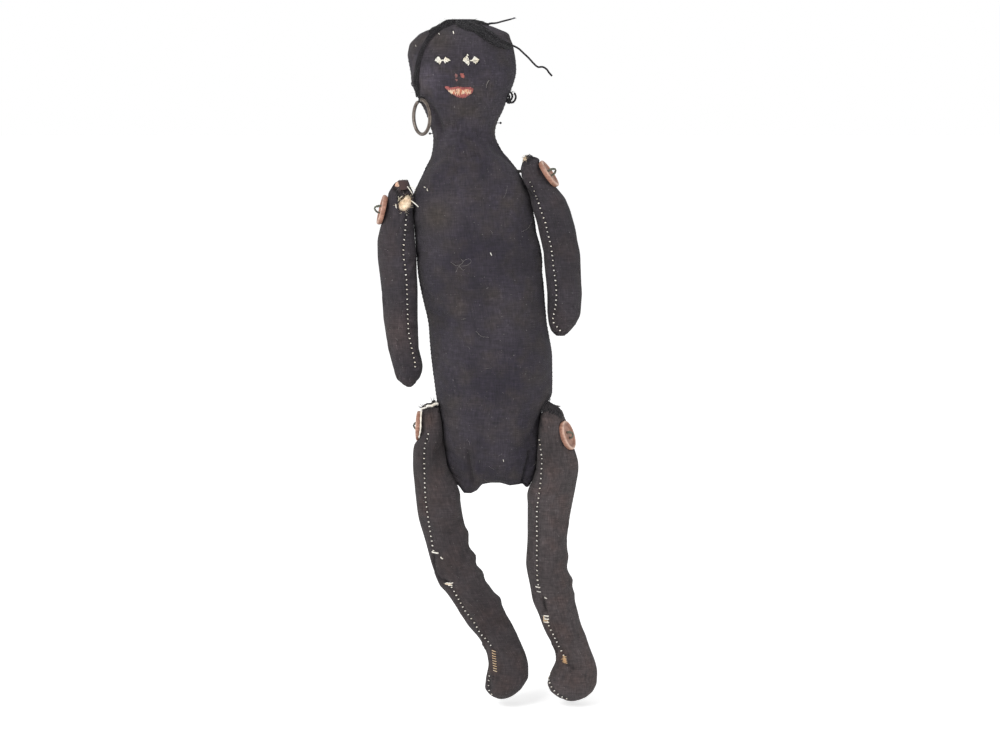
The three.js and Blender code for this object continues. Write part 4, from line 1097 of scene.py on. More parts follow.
def bar(form, start, end, radius, rise=BAR_RISE):
    """A straight thread between two pixels, whose ends go into the cloth."""
    t = np.linspace(0, 1, 9)
    lifts = rise * (1 - (2 * t - 1) ** 6) - radius * (2 * t - 1) ** 6 * 1.6
    places = [form.at(start[0] + (end[0] - start[0]) * s, start[1] + (end[1] - start[1]) * s, lift)[0]
              for s, lift in zip(t, lifts)]
    return point_array(places), radius


def bars(form, rows):
    """Straight threads. A row has the two pixels, the radius and, where it differs, the rise."""
    return [bar(form, start, end, *[size * MM for size in sizes]) for start, end, *sizes in rows]


def ladder(form, count, start, start_step, end, end_step, radius):
    """Straight threads side by side, from one row of pixels to another."""
    ends = [[(x + k * step_x, y + k * step_y) for k in range(count)]
            for (x, y), (step_x, step_y) in ((start, start_step), (end, end_step))]
    return [bar(form, low, high, radius * MM) for low, high in zip(*ends)]


def fibre(form, place, normal, length, radius, rng, curl=1.5, lift=0.15 * MM, stand=0.0):
    """A loose fibre that starts at a place, curls over the surface and may stand off it."""
    normal = Vector(normal).normalized()
    side = normal.orthogonal().normalized()
    other = normal.cross(side)
    heading = rng.uniform(0, FULL_TURN)
    bend = rng.uniform(-curl, curl)
    count = 9
    at = Vector(place)
    points = []
    for k in range(count):
        share = k / (count - 1)
        points.append(at + normal * (lift + stand * share))
        heading += bend / count + rng.uniform(-0.15, 0.15)
        at = at + (side * math.cos(heading) + other * math.sin(heading)) * (length / count)
    if stand == 0.0:
        points = [form.near(p, lift)[0] for p in points]
    return point_array(points), np.linspace(radius, radius * 0.6, count)


def lint(form, count, rng, longest):
    """Loose fibres over a whole form, front and back."""
    rows, columns = form.points.shape[:2]
    normals = form.normals()
    found = []
    for _ in range(count):
        r = rng.integers(6, rows - 6)
        c = rng.integers(0, columns)
        if form.hole[r, c] or abs(normals[r, c, 0]) > 0.6:
            continue
        length = rng.uniform(1 * MM, longest)
        radius = rng.uniform(0.035, 0.065) * MM
        found.append(fibre(form, form.points[r, c], normals[r, c], length, radius, rng))
    return found


def fray(form, rng, line, count, length, radius, lean=(0, 0), stand=1.0):
    """Short broken threads along a line of pixels, leaning one way in the picture."""
    path = spline(line, 60)
    lean = view_right * lean[0] - view_up * lean[1]
    found = []
    for _ in range(count):
        x, y = path[rng.integers(0, len(path))] + rng.uniform(-0.7, 0.7, 2)
        start, normal = form.at(x, y, -0.3 * MM)
        heading = Vector(rng.normal(0, 0.5, 3)) + lean
        size = length * MM * rng.uniform(0.5, 1.2)
        out = normal * (stand * MM) * rng.uniform(0.3, 1.0)
        middle = start + heading * (size * 0.5) + out
        end = start + heading * size + out * rng.uniform(0.2, 1.3)
        found.append((spline([start, middle, end], 7), radius * MM * rng.uniform(0.7, 1.3)))
    return found


def frays(form, rng, rows):
    """Broken threads along lines. A row is a line, their number, length and radius, and the rest."""
    return [strand for row in rows for strand in fray(form, rng, *row)]


def free_path(places, count=24):
    """A smooth path through pixels given with their depths in millimetres."""
    return spline([pixel_point(x, y, depth * MM) for x, y, depth in places], count)


def free_threads(rows):
    """Threads off the cloth. A row has the radius and then pixels with their depths."""
    return [(free_path(places), radius * MM) for radius, *places in rows]


# Limb seams
STITCH_HALF_LENGTH = 0.39 * MM
STITCH_RADIUS = 0.32 * MM
STITCH_RISE = 0.42 * MM
FAINT_LENGTH_SHARE = 0.6
FAINT_RADIUS_SHARE = 0.55
NEEDLE_HOLE_RADIUS = 0.42 * MM
NEEDLE_HOLE_GAP = 0.5 * MM
NEEDLE_HOLE_DEPTH = 0.4 * MM
NEEDLE_HOLE_STAND = 0.04 * MM
# The pixel row above which a limb's stitches are made thin and short, to look dim as in the shade there
FAINT_ROWS = {"left_arm": 201}


def stitches_along(form, pixels, rng, faint_above):
    """Cream whip stitches along a line of pixels, and near-black discs at their ends, painted shade for
    the needle holes.
    """
    points, normals = form.line(pixels, STITCH_PITCH)
    along = np.gradient(points, axis=0)
    sewn, hole_shade_discs = [], []
    for place, normal, way in zip(points, normals, along):
        half = STITCH_HALF_LENGTH * rng.uniform(0.75, 1.2)
        slant = rng.uniform(-0.1, 0.6)
        radius = STITCH_RADIUS * rng.uniform(0.85, 1.12)
        if place[2] > faint_above:
            radius *= FAINT_RADIUS_SHARE
            half *= FAINT_LENGTH_SHARE
        sewn.append(stitch(place, normal, way, half, radius, STITCH_RISE, slant))
        across = np.cross(normal, way / (np.linalg.norm(way) + 1e-12))
        for side in (-1, 1):
            on, out = form.near(place + across * side * (half + NEEDLE_HOLE_GAP))
            ends = [on - out * NEEDLE_HOLE_DEPTH, on, on + out * NEEDLE_HOLE_STAND]
            hole_shade_discs.append((point_array(ends), NEEDLE_HOLE_RADIUS))
    return sewn, hole_shade_discs


rng = np.random.default_rng(11)
for name, form in limbs.items():
    faint_above = pixel_point(0, FAINT_ROWS.get(name, 0)).z
    rows = [stitches_along(form, line, rng, faint_above) for line in SEAMS[name]]
    sewn, hole_shade_discs = [sum(kind, []) for kind in zip(*rows)]
    sew(f"{name}_stitches", sewn, "cream_thread", 8, name, "cream_thread", f"{name}_seam_thread")
    # Near-black discs sunk in the cloth: painted shade in the needle holes
    sew(f"{name}_needle_holes", hole_shade_discs, "needle_dark", 7, name, "black_thread")


# Body seam: black overcast stitches where the two panels meet
OVERCAST_PITCH = 2.6 * MM
OVERCAST_LOW = 12 * MM
OVERCAST_TOP = 24 * MM
OVERCAST_RADIUS = 0.13 * MM
OVERCAST_RISE = 0.08 * MM


def overcast(form, column, rng):
    """Small black stitches over one side of the form, from near its bottom to near its top."""
    heights = form.points[..., 2]
    line = form.points[:, column]
    low, high = heights.min() + OVERCAST_LOW, heights.max() - OVERCAST_TOP
    points = even_path(line[(line[:, 2] > low) & (line[:, 2] < high)], OVERCAST_PITCH)
    out = 1 if points[:, 0].mean() > form.points[..., 0].mean() else -1
    found = []
    for place, way in zip(points, np.gradient(points, axis=0)):
        half = rng.uniform(0.7, 1.0) * MM
        on, _ = form.near(place)
        slant = rng.uniform(0.2, 0.8)
        found.append(stitch(on, (out, 0, 0), way, half, OVERCAST_RADIUS, OVERCAST_RISE, slant))
    return found


for side, column in (("right", body.points.shape[1] // 2), ("left", 0)):
    sewn = overcast(body, column, rng)
    sew(f"body_seam_{side}", sewn, "black_thread", 5, "torso", "black_thread",
        f"body_seam_thread_{side}")


# Embroidered face
FLOSS_RADIUS = 0.24 * MM
EYE_FLOSS_RADIUS = 0.33 * MM
EYE_SPACING = 1.25
EYE_SLANT = 62
DOT_HALF = 0.9
CONTOUR_GAP = 0.75
CONTOUR_SHARES = [(0.02, 0.4), (0.5, 0.95)]


def satin(form, outline, angle, spacing, rng, radius=FLOSS_RADIUS, rise=0.3 * MM, jitter=0.25):
    """Parallel threads that fill an outline of pixels, running at an angle above level."""
    turn = math.radians(angle)
    way = np.array([math.cos(turn), -math.sin(turn)])
    across = np.array([way[1], -way[0]])
    corners = np.array(outline, float)
    offsets = corners @ across
    found = []
    at = offsets.min() + spacing * 0.4
    while at < offsets.max():
        hits = []
        for a, b in zip(corners, np.roll(corners, -1, 0)):
            da, db = a @ across - at, b @ across - at
            if da * db < 0:
                hits.append((a + (b - a) * (da / (da - db))) @ way)
        hits.sort()
        for low, high in zip(hits[::2], hits[1::2]):
            low = low + rng.uniform(-jitter, jitter)
            high = high + rng.uniform(-jitter, jitter)
            if high - low < 0.5:
                continue
            lean = rng.uniform(-jitter, jitter) * 0.6
            start = way * low + across * (at - lean)
            end = way * high + across * (at + lean)
            size = radius * rng.uniform(0.85, 1.15)
            found.append(bar(form, start, end, size, rise * rng.uniform(0.8, 1.3)))
        at += spacing * rng.uniform(0.85, 1.1)
    return found


def leaf_eye(form, sides, dot, rng):
    """Two arrowheads of white floss, each of two slanting sheaves, with a small stitch between."""
    found = []
    for tip, top, bottom, root in sides:
        slant = EYE_SLANT if tip[0] > root[0] else -EYE_SLANT
        for outline, angle in (([tip, top, root], slant), ([tip, root, bottom], -slant)):
            found += satin(form, outline, angle, EYE_SPACING, rng, EYE_FLOSS_RADIUS, jitter=0.4)
    x, y = dot
    found.append(bar(form, (x - DOT_HALF, y), (x + DOT_HALF, y), FLOSS_RADIUS * 1.5))
    return found


def eye_contour(form, sides):
    """Short black stitches along the slanting edges of an eye's arrowheads."""
    found = []
    for tip, top, bottom, _ in sides:
        for corner in (top, bottom):
            out = CONTOUR_GAP if corner[1] > tip[1] else -CONTOUR_GAP
            for shares in CONTOUR_SHARES:
                ends = [(tip[0] + (corner[0] - tip[0]) * t, tip[1] + (corner[1] - tip[1]) * t + out)
                        for t in shares]
                found.append(bar(form, *ends, FLOSS_RADIUS * 0.9, 0.25 * MM))
    return found


# Each eye's two arrowheads, as tip, top, bottom and root, and the stitch between them
EYES = {
    "right": ([((434.8, 60.2), (438.2, 56), (440, 64.3), (441.8, 60.2)),
               ((450.2, 60.2), (445.2, 56.6), (445.2, 63.3), (443.9, 60))], (442.9, 60.2)),
    "left": ([((462.4, 60), (467.4, 54.6), (468.4, 65.6), (470.3, 60.3)),
              ((480.2, 60.4), (474.6, 56.3), (475.2, 64.3), (472.4, 60.6))], (471.4, 60.6)),
}
NOSE_RIGHT = [(455, 74.2), (456.6, 73.6), (457.6, 75.2), (457, 77.6), (455.4, 77.8)]
NOSE_LEFT = [(460.3, 73.6), (463.4, 73.4), (464.4, 76), (463.8, 78.4), (461.2, 77.6)]
NOSE_TRACE = [(455.6, 79), (457.2, 78.8), (457.2, 81.2), (455.4, 81)]
LIPS = [(444.6, 86.2), (447.6, 86.4), (450.5, 87.8), (454, 87.2), (458, 86.4), (461.5, 86.9),
        (465, 87.2), (468.4, 86.6), (471.2, 87), (473.2, 89), (472.4, 92), (470, 95), (467.4, 96.2),
        (464.6, 98.2), (460.6, 98.4), (456.4, 96.8), (452.6, 94.6), (449.4, 92.2), (446.6, 88.8)]
TEETH = [(448, 89.8), (451, 90.2), (454.5, 89.4), (458.5, 88.2), (462, 88.7), (466, 88.8),
         (469.4, 88.2), (471, 90), (470.4, 93.6), (467.6, 94.6), (463.5, 94), (460, 95.4), (456, 95),
         (452.4, 93.6), (449.8, 91.8)]
TEETH_GAP = [(455.8, 89.8), (457, 89.8), (456.8, 92), (455.9, 92)]
FOREHEAD = [
    ((453.2, 31.6), (453.6, 33.6), 0.36),
    ((438.8, 33.6), (439.4, 34.4), 0.2),
]


def two_tones(strands, rng):
    """Strands in a random order, as two thirds and the last third of them."""
    rng.shuffle(strands)
    third = len(strands) // 3
    return strands[third:], strands[:third]


rng = np.random.default_rng(23)
for side, (sides, dot) in EYES.items():
    sew(f"{side}_eye_floss", leaf_eye(body, sides, dot, rng), "white_floss", 6, "torso",
        "white_thread", f"eye_{side}")
    sew(f"{side}_eye_contour", eye_contour(body, sides), "needle_dark", 6, "torso", "black_thread")

nose = satin(body, NOSE_LEFT, 78, 0.7, rng, rise=0.35 * MM)
sew("nose_stitches_left", nose, "pink_floss", 6, "torso", "red_thread", "nose_stitch_left")
nose = satin(body, NOSE_RIGHT, 84, 0.65, rng) + satin(body, NOSE_TRACE, 80, 0.8, rng, rise=0.1 * MM)
sew("nose_stitches_right", nose, "dull_red_floss", 6, "torso", "red_thread", "nose_stitch_right")

lips = satin(body, LIPS, 74, 0.55, rng, rise=0.3 * MM, jitter=0.5)
lips += satin(body, LIPS, 62, 1.3, rng, rise=0.42 * MM, jitter=0.6)
red, pale = two_tones(lips, rng)
sew("lip_floss", red, "red_floss", 6, "torso", "red_thread", "mouth_lips")
sew("lip_floss_pale", pale, "pink_floss", 6, "torso", "red_thread")
teeth = satin(body, TEETH, 68, 0.8, rng, rise=0.6 * MM, jitter=0.8)
teeth += satin(body, TEETH, 105, 1.9, rng, radius=FLOSS_RADIUS * 0.8, rise=0.75 * MM, jitter=1.2)
cream, amber = two_tones(teeth, rng)
sew("tooth_floss", cream, "tooth_cream", 6, "torso", "teeth_thread", "mouth_teeth")
sew("tooth_floss_yellow", amber, "tooth_amber", 6, "torso", "teeth_thread")
# Dark floss across the middle of the teeth: painted shade in the gap between them
gap_shade = satin(body, TEETH_GAP, 80, 0.8, rng, rise=0.8 * MM, radius=0.14 * MM)
sew("tooth_gap_shade_floss", gap_shade, "brown_fibre", 6, "torso", "teeth_thread")
sew("forehead_floss", bars(body, FOREHEAD), "white_floss", 8, "torso", "white_thread",
    "forehead_stitch")


# Yarn hair: bundles of fine strands laid over the head, and two loose ends
HAIR_STEPS = 40
HAIR_RADIUS = 0.12 * MM
HAIR_WANDER = 0.3


def bundle(form, line, half_widths, count, height, rng, thinning=1.0):
    """Fine strands laid together along a line of pixels, spread over its width or to one side."""
    path = spline(line, HAIR_STEPS)
    way = np.gradient(path, axis=0)
    way /= np.linalg.norm(way, axis=1)[:, None]
    across = np.stack([-way[:, 1], way[:, 0]], 1)
    share = np.linspace(0, 1, HAIR_STEPS)
    widths = np.interp(share, np.linspace(0, 1, len(half_widths)), half_widths)
    found = []
    for _ in range(count):
        side = 2 * rng.uniform(0, 1) ** thinning - 1
        turns = rng.uniform(0, FULL_TURN) + rng.uniform(1, 3) * FULL_TURN * share
        at = path + across * ((side + HAIR_WANDER * np.sin(turns)) * widths)[:, None]
        lift = height * rng.uniform(0.1, 1) * math.sqrt(1 - 0.8 * side**2) + 0.1 * MM
        first = rng.integers(0, 3)
        last = HAIR_STEPS - rng.integers(0, 5)
        found.append((form.lay(at[first:last], lift), HAIR_RADIUS * rng.uniform(0.75, 1.3)))
    return found


RIGHT_LOCK = [(456, 21.5), (447, 24), (438.5, 29), (431, 36.5), (424.6, 46), (420.2, 57), (417.8, 68),
              (416.8, 79), (417.4, 88), (418.6, 96.5)]
RIGHT_LOCK_WIDTHS = [1.8, 2.3, 2.3, 1.8, 1.5, 1.4, 1.6, 2.0, 1.8, 0.7]
LEFT_BAND = [(456, 22.5), (466, 25.5), (478, 30.5), (490, 37.5), (501, 44.5), (510.5, 48)]
LEFT_BAND_WIDTHS = [2.6, 3.8, 4.4, 4.4, 3.2, 1.2]
CROWN_LINE = [(429, 33), (434, 28.5), (441, 24.5), (448, 21.8), (456, 20.6), (464, 20.6), (472, 21.4),
              (480, 22.8), (489, 25)]
CROWN_WIDTHS = [0.7, 1.2, 1.5, 1.7, 1.8, 1.7, 1.5, 1.3, 0.8]
BAND_YARN = [(470, 24.5), (482, 30), (494, 37), (504, 42.5), (511.5, 46.2)]
STRAYS_PER_LINE = 34

rng = np.random.default_rng(31)
right_lock = bundle(body, RIGHT_LOCK, RIGHT_LOCK_WIDTHS, 100, 1.3 * MM, rng)
sew("hair_right_lock", right_lock, "black_yarn", 5, "torso", "hair_yarn", "hair_lock_right")
left_band = bundle(body, LEFT_BAND, LEFT_BAND_WIDTHS, 170, 1.2 * MM, rng, thinning=1.7)
left_band += plied(body.lay(spline(BAND_YARN, 30), 1.3 * MM), 0.62 * MM)
sew("hair_left_band", left_band, "black_yarn", 5, "torso", "hair_yarn", "hair_lock_left")
crown = bundle(body, CROWN_LINE, CROWN_WIDTHS, 70, 0.9 * MM, rng)
sew("hair_crown", crown, "black_yarn", 5, "torso", "hair_yarn")

stray = []
for line in (RIGHT_LOCK, LEFT_BAND, CROWN_LINE):
    path = spline(line, 60)
    for _ in range(STRAYS_PER_LINE):
        x, y = path[rng.integers(0, 60)] + rng.uniform(-2.5, 2.5, 2)
        length = rng.uniform(2, 6) * MM
        stand = rng.uniform(0.3, 1.2) * MM
        stray.append(fibre(body, *body.at(x, y), length, 0.06 * MM, rng, 2.0, 0.3 * MM, stand))
sew("hair_stray_fibres", stray, "brown_fibre", 4, "torso", "hair_yarn")

CROWN_LEAVES = Vector((1.6, 0, 188.34)) * MM
CROWN_ROUTE = [(-1.6, 0.1, -0.6), (0, 0, 0), (3.6, -0.4, 0.3), (7.4, -0.6, 1.3), (11.0, -0.4, 2.2),
               (14.4, 0, 3.1)]
CROWN_TAPER = ([0, 0.3, 0.8, 1], [1.3, 1, 1, 0.7])
CROWN_RADIUS = 0.6 * MM
crown_path = spline([CROWN_LEAVES + Vector(p) * MM for p in CROWN_ROUTE], 40)
crown_tail = plied(crown_path, CROWN_RADIUS, 3, taper=CROWN_TAPER)
sew("hair_crown_tail", crown_tail, "black_yarn", 7, "torso", "hair_yarn", "hair_tail_crown")


def broom(end, heading, rng, count, length, spread, radius):
    """The frayed end of a yarn."""
    found = []
    for _ in range(count):
        lean = Vector(rng.normal(0, spread, 3))
        middle = end + (heading + lean * 0.5) * length * 0.5
        tip = end + (heading + lean) * length * rng.uniform(0.6, 1.1)
        found.append((spline([end - heading * 0.6 * MM, end, middle, tip], 9), radius))
    return found


heading = Vector(crown_path[-1] - crown_path[-4]).normalized()
start = Vector(crown_path[-1]) - heading * CROWN_RADIUS * 2
frayed = broom(start, heading, rng, 22, 2.4 * MM, 0.16, 0.09 * MM)
sew("hair_crown_tail_end", frayed, "grey_yarn", 5, "torso", "hair_yarn")

# The knot at the left ear, as pixels with their depths in millimetres
LEFT_EAR_LINES = [
    [(508.6, 86, -1.0), (508.2, 90, -1.4), (506.8, 94, -1.8), (506.6, 98.2, -1.4), (508.6, 101.6, -0.8),
     (511.8, 102.6, -0.4), (514.6, 100.6, -0.8), (515.8, 96.8, -1.2), (514.4, 92.6, -1.4)],
    [(506.4, 92.4, -0.4), (509, 91.6, -0.6), (511.4, 93.4, -0.4), (512.2, 96.4, 0.4),
     (511.2, 99.4, 0.8), (508.6, 101, 0.6), (506.4, 99.6, 0.2)],
    [(507.6, 99.6, -2.4), (509.6, 100.2, -2.0), (510.4, 102, -0.8), (508.8, 103, 0.4),
     (507, 101.8, -0.4), (507.4, 99.8, -1.6)],
    [(505, 93.6, 0), (508.2, 94.6, 0.6), (509.6, 97.2, 0.8), (508.2, 99.4, 0.4), (505.8, 98.2, -0.4),
     (506.2, 95.4, -1.4), (508.8, 96.2, -1.6), (509.4, 99.2, -1)],
]
LEFT_EAR_LEFT, LEFT_EAR_RIGHT = 507, 515
LEFT_EAR_TOP, LEFT_EAR_LOW = 91, 103
LEFT_EAR_FIBRES = 26
SIDE_LOOP = [(414.6, 80, -2), (412.2, 81.4, -2.4), (411.4, 83.6, -2.4), (412.2, 85.8, -2),
             (414.4, 87.4, -1)]
ear = [strand for line in LEFT_EAR_LINES for strand in plied(free_path(line, 60), 0.74 * MM)]
for _ in range(LEFT_EAR_FIBRES):
    x = rng.uniform(LEFT_EAR_LEFT, LEFT_EAR_RIGHT)
    y = rng.uniform(LEFT_EAR_TOP, LEFT_EAR_LOW)
    start = pixel_point(x, y, -0.5 * MM)
    lean = Vector(rng.normal(0, 1, 3)).normalized() * 1.6 * MM
    ear.append((spline([start, start + lean * 0.5, start + lean], 5), 0.07 * MM))
sew("ear_yarn_left", ear, "black_yarn", 6, "torso", "hair_yarn", "ear_loop_left")
side_loop = plied(free_path(SIDE_LOOP, 40), 0.32 * MM)
sew("hair_side_loop", side_loop, "black_yarn", 6, "torso", "hair_yarn")


# Earring: a ring rolled from sheet brass, with a groove where its edges meet
RING_WIRE = 1.1 * MM
RING_OPENING = math.radians(14)
RING_OPENING_FROM_TOP = math.radians(-20)
RING_STEPS = 150
RING_SIDES = 32
GROOVE_DEPTH = 0.5
GROOVE_WIDTH = 0.2
GROOVE_TURN = 0.6
EAR_LOOP_RADIUS = 1.95 * MM
EAR_LOOP_TURNS = 1.15
UP = np.array([0, 0, 1])
ring_low, ring_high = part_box("earring_ring")
ring_middle = np.array((ring_low + ring_high) / 2)
ring_radius = (ring_high.z - ring_low.z) / 2 - RING_WIRE
swing = next(j for j in frame["joints"] if j["name"] == "earring_swing")
ring_normal = -Vector(swing["axis"]).normalized()
ring_across = Vector((0, 0, 1)).cross(ring_normal).normalized()
if ring_across.y > 0:
    ring_across = -ring_across


def rolled_ring():
    """The ring's points, faces and dirt, from one end of the wire to the other."""
    start = math.pi / 2 - RING_OPENING_FROM_TOP - RING_OPENING / 2
    share = np.linspace(0, 1, RING_STEPS)
    angle = start - share * (FULL_TURN - RING_OPENING)
    out = np.cos(angle)[:, None] * np.array(ring_across) + np.sin(angle)[:, None] * UP
    centre = ring_middle + out * ring_radius
    from_end = np.minimum(share, 1 - share) * (FULL_TURN - RING_OPENING) * ring_radius
    size = np.sqrt(np.clip(1 - (1 - np.clip(from_end / RING_WIRE, 0, 1)) ** 2, 0.002, 1))
    round_angle = np.arange(RING_SIDES) * FULL_TURN / RING_SIDES
    off = (round_angle - GROOVE_TURN + math.pi) % FULL_TURN - math.pi
    groove = np.exp(-(off / GROOVE_WIDTH) ** 2)
    radius = RING_WIRE * (1 - GROOVE_DEPTH * groove)
    side = out[:, None] * np.cos(round_angle)[None, :, None]
    front = np.array(ring_normal)[None, None] * np.sin(round_angle)[None, :, None]
    points = centre[:, None] + (side + front) * (radius[None, :, None] * size[:, None, None])
    faces = tube_faces(RING_STEPS, RING_SIDES, turned=True)
    last = (RING_STEPS - 1) * RING_SIDES
    faces += [tuple(range(RING_SIDES)), tuple(range(last + RING_SIDES - 1, last - 1, -1))]
    return points.reshape(-1, 3), faces, np.broadcast_to(groove, (RING_STEPS, RING_SIDES)) * 0.8


ring_points, ring_faces, ring_dirt = rolled_ring()
ring = add_mesh("earring_rolled_ring", ring_points, ring_faces, "ring_brass")
set_attribute(ring, "dirt", ring_dirt)
finish_piece(ring, "earring", "earring_brass", "earring_ring")

turns = np.linspace(0, EAR_LOOP_TURNS, 40)[:, None] * FULL_TURN
loop_path = ring_middle + UP * ring_radius + EAR_LOOP_RADIUS * (
    np.cos(turns) * UP + np.sin(turns) * np.array(ring_normal))
sew("ear_yarn_right", plied(loop_path, 0.5 * MM), "black_yarn", 6, "torso", "hair_yarn",
    "ear_loop_right")


# Neck pins: a glass head on a shank, as places along the pin in radii of its head
PIN_SHANK = 0.24 * MM
PIN_INSIDE = 0.8 * MM
PIN_REACH = [0.3, 0.6, 0.86, 1.14, 1.5, 2]
PIN_BULGE = [0.75, 0.93, 1, 0.97, 0.72, 0.05]
for node in ("neck_pin_right", "neck_pin_left"):
    low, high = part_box(node)
    head = (high.z - low.z) / 2
    side, end_x, start_x = (1, high.x, low.x) if low.x > 0 else (-1, low.x, high.x)
    places = [start_x - side * PIN_INSIDE, end_x - side * 2 * head]
    places += [end_x - side * head * (2 - reach) for reach in PIN_REACH]
    middle = (low + high) / 2
    path = [(x, middle.y, middle.z) for x in places]
    radii = [PIN_SHANK, PIN_SHANK] + [head * bulge for bulge in PIN_BULGE]
    sew(f"{node}_glossy", [(path, radii)], "pin_gloss", 18, "torso", "pin_head", node)


# Buttons, and the twine that holds them. The profile is in shares of the radius and the thickness.
BUTTON_PROFILE = [
    (0, 0), (0.84, 0), (0.92, 0.06), (0.97, 0.2), (0.995, 0.4), (1, 0.72), (0.985, 0.88), (0.95, 0.97),
    (0.9, 1), (0.84, 0.99), (0.79, 0.93), (0.75, 0.83), (0.71, 0.73), (0.66, 0.68), (0.4, 0.655),
    (0, 0.65),
]
BUTTON_FACE_SHARE = 0.65
BUTTON_STEPS = 80
BUTTON_HOLE_RADIUS = 0.95 * MM
BUTTON_HOLE_SPACING = 4.4 * MM
HOLE_DIRT_REACH = 1.6 * MM
RIM_SHARE = 0.93
RIM_WIDTH = 0.07
STEP_SHARE = 0.7
STEP_WIDTH = 0.06


def lathe_button(name, centre, normal, up, side, radius, thickness):
    """A dished disc with two holes, one above the other."""
    profile = spline(BUTTON_PROFILE, 46)
    profile[:, 0] = np.clip(profile[:, 0], 0, 1)
    angle = np.arange(BUTTON_STEPS) * FULL_TURN / BUTTON_STEPS
    around = np.cos(angle)[:, None] * np.array(side) + np.sin(angle)[:, None] * np.array(up)
    points = [tuple(centre + normal * profile[0, 1] * thickness)]
    for r, h in profile[1:-1]:
        level = np.array(centre) + np.array(normal) * h * thickness
        points += [tuple(level + a * r * radius) for a in around]
    points.append(tuple(centre + normal * profile[-1, 1] * thickness))
    rings = len(profile) - 2
    last = 1 + (rings - 1) * BUTTON_STEPS
    faces = tube_faces(rings, BUTTON_STEPS, 1)
    for i in range(BUTTON_STEPS):
        k = (i + 1) % BUTTON_STEPS
        faces += [(0, 1 + k, 1 + i), (last + i, last + k, len(points) - 1)]
    disc = add_mesh(name, points, faces, "button_horn")
    holes = [up * (way * BUTTON_HOLE_SPACING / 2) for way in (-1, 1)]
    drills = [(point_array([centre + hole - normal * thickness, centre + hole + normal * thickness * 2]),
               BUTTON_HOLE_RADIUS) for hole in holes]
    cutter = add_strands("hole_cutter", drills, "button_horn", 24)
    cut = disc.modifiers.new("holes", "BOOLEAN")
    cut.object = cutter
    cut.solver = "EXACT"
    shown = disc.evaluated_get(bpy.context.evaluated_depsgraph_get())
    disc.data = bpy.data.meshes.new_from_object(shown)
    disc.modifiers.clear()
    bpy.data.objects.remove(cutter)
    disc.data.set_sharp_from_angle(angle=math.radians(40))
    away = np.array([v.co for v in disc.data.vertices]) - np.array(centre)
    out = away @ np.array(normal)
    flat = away - np.outer(out, np.array(normal))
    height = out / thickness
    from_middle = np.linalg.norm(flat, axis=1) / radius
    # A pale band on the rim's top: partly wear, partly a painted highlight
    rim = np.exp(-((from_middle - RIM_SHARE) / RIM_WIDTH) ** 2)
    set_attribute(disc, "wear", rim * np.clip((height - 0.6) * 4, 0, 1))
    near_holes = sum(np.exp(-(np.linalg.norm(flat - np.array(hole), axis=1) / HOLE_DIRT_REACH) ** 2)
                     for hole in holes)
    step = np.exp(-((from_middle - STEP_SHARE) / STEP_WIDTH) ** 2) * (height > 0.5)
    set_attribute(disc, "dirt", np.clip(near_holes * 0.5 + step * 0.3, 0, 0.8))
    return disc


TWINE_RADIUS = 0.6 * MM
TWINE_PITCH = 2.2 * MM
TWINE_SHIFTS = [-0.3 * MM, 0.3 * MM]
TWINE_BEHIND = 2 * MM
TWINE_RISE = {"right_arm": 4.4, "left_arm": 4.6, "right_leg": 3, "left_leg": 3.2}
rng = np.random.default_rng(41)
for limb in limbs:
    centre, normal, up, side, radius, thickness = button_place(limb)
    disc = lathe_button(f"{limb}_horn_button", centre, normal, up, side, radius, thickness)
    finish_piece(disc, limb, "button", f"{limb}_button")
    half = BUTTON_HOLE_SPACING / 2
    face = BUTTON_FACE_SHARE * thickness
    rise = TWINE_RISE[limb] * MM
    climb = [(half, -TWINE_BEHIND), (half, 0), (half, face), (half * 0.95, face + rise * 0.55)]
    arch = [(-a, b) for a, b in climb] + [(0, face + rise)] + climb[::-1]
    twines = []
    for shift in TWINE_SHIFTS:
        path = [centre + up * a + normal * b + side * shift * (b > face) for a, b in arch]
        twines += plied(spline(path, 80), TWINE_RADIUS, pitch=TWINE_PITCH)
    end = centre + up * half + normal * (face + 0.4 * MM)
    heading = (normal - up * 0.6).normalized()
    twines += broom(end, heading, rng, 7, 2.2 * MM, 0.3, 0.08 * MM)
    sew(f"{limb}_twine", twines, "twine", 7, limb, "twine", f"{limb}_button_thread")


# Strings that carry the limbs, through the middles of their solids
STRING_SLICES = 6
SLICE_CORNERS = 12
for node in ("shoulder_string", "hip_string"):
    corners = np.array([v.co for v in frame["nodes"][node].data.vertices])
    low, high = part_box(node)
    middles = []
    for x in np.linspace(low.x, high.x, STRING_SLICES):
        nearest = np.argsort(np.abs(corners[:, 0] - x))[:SLICE_CORNERS]
        middles.append(corners[nearest].mean(0))
    radius = float(np.linalg.norm(corners[nearest] - middles[-1], axis=1).max())
    strung = plied(spline(middles, 60), radius, 3)
    sew(f"{node}_twine", strung, "dark_twine", 7, "torso", "twine", node)


# Torn places: loose stuffing, raw edges and broken threads
DOME_GRAIN = 2.2 * MM
FLAP_STEPS = 14
FLAP_BOW = 1.2
FLAP_RIPPLE = 0.35 * MM
FLAP_RIPPLE_SIZE = 2.5 * MM


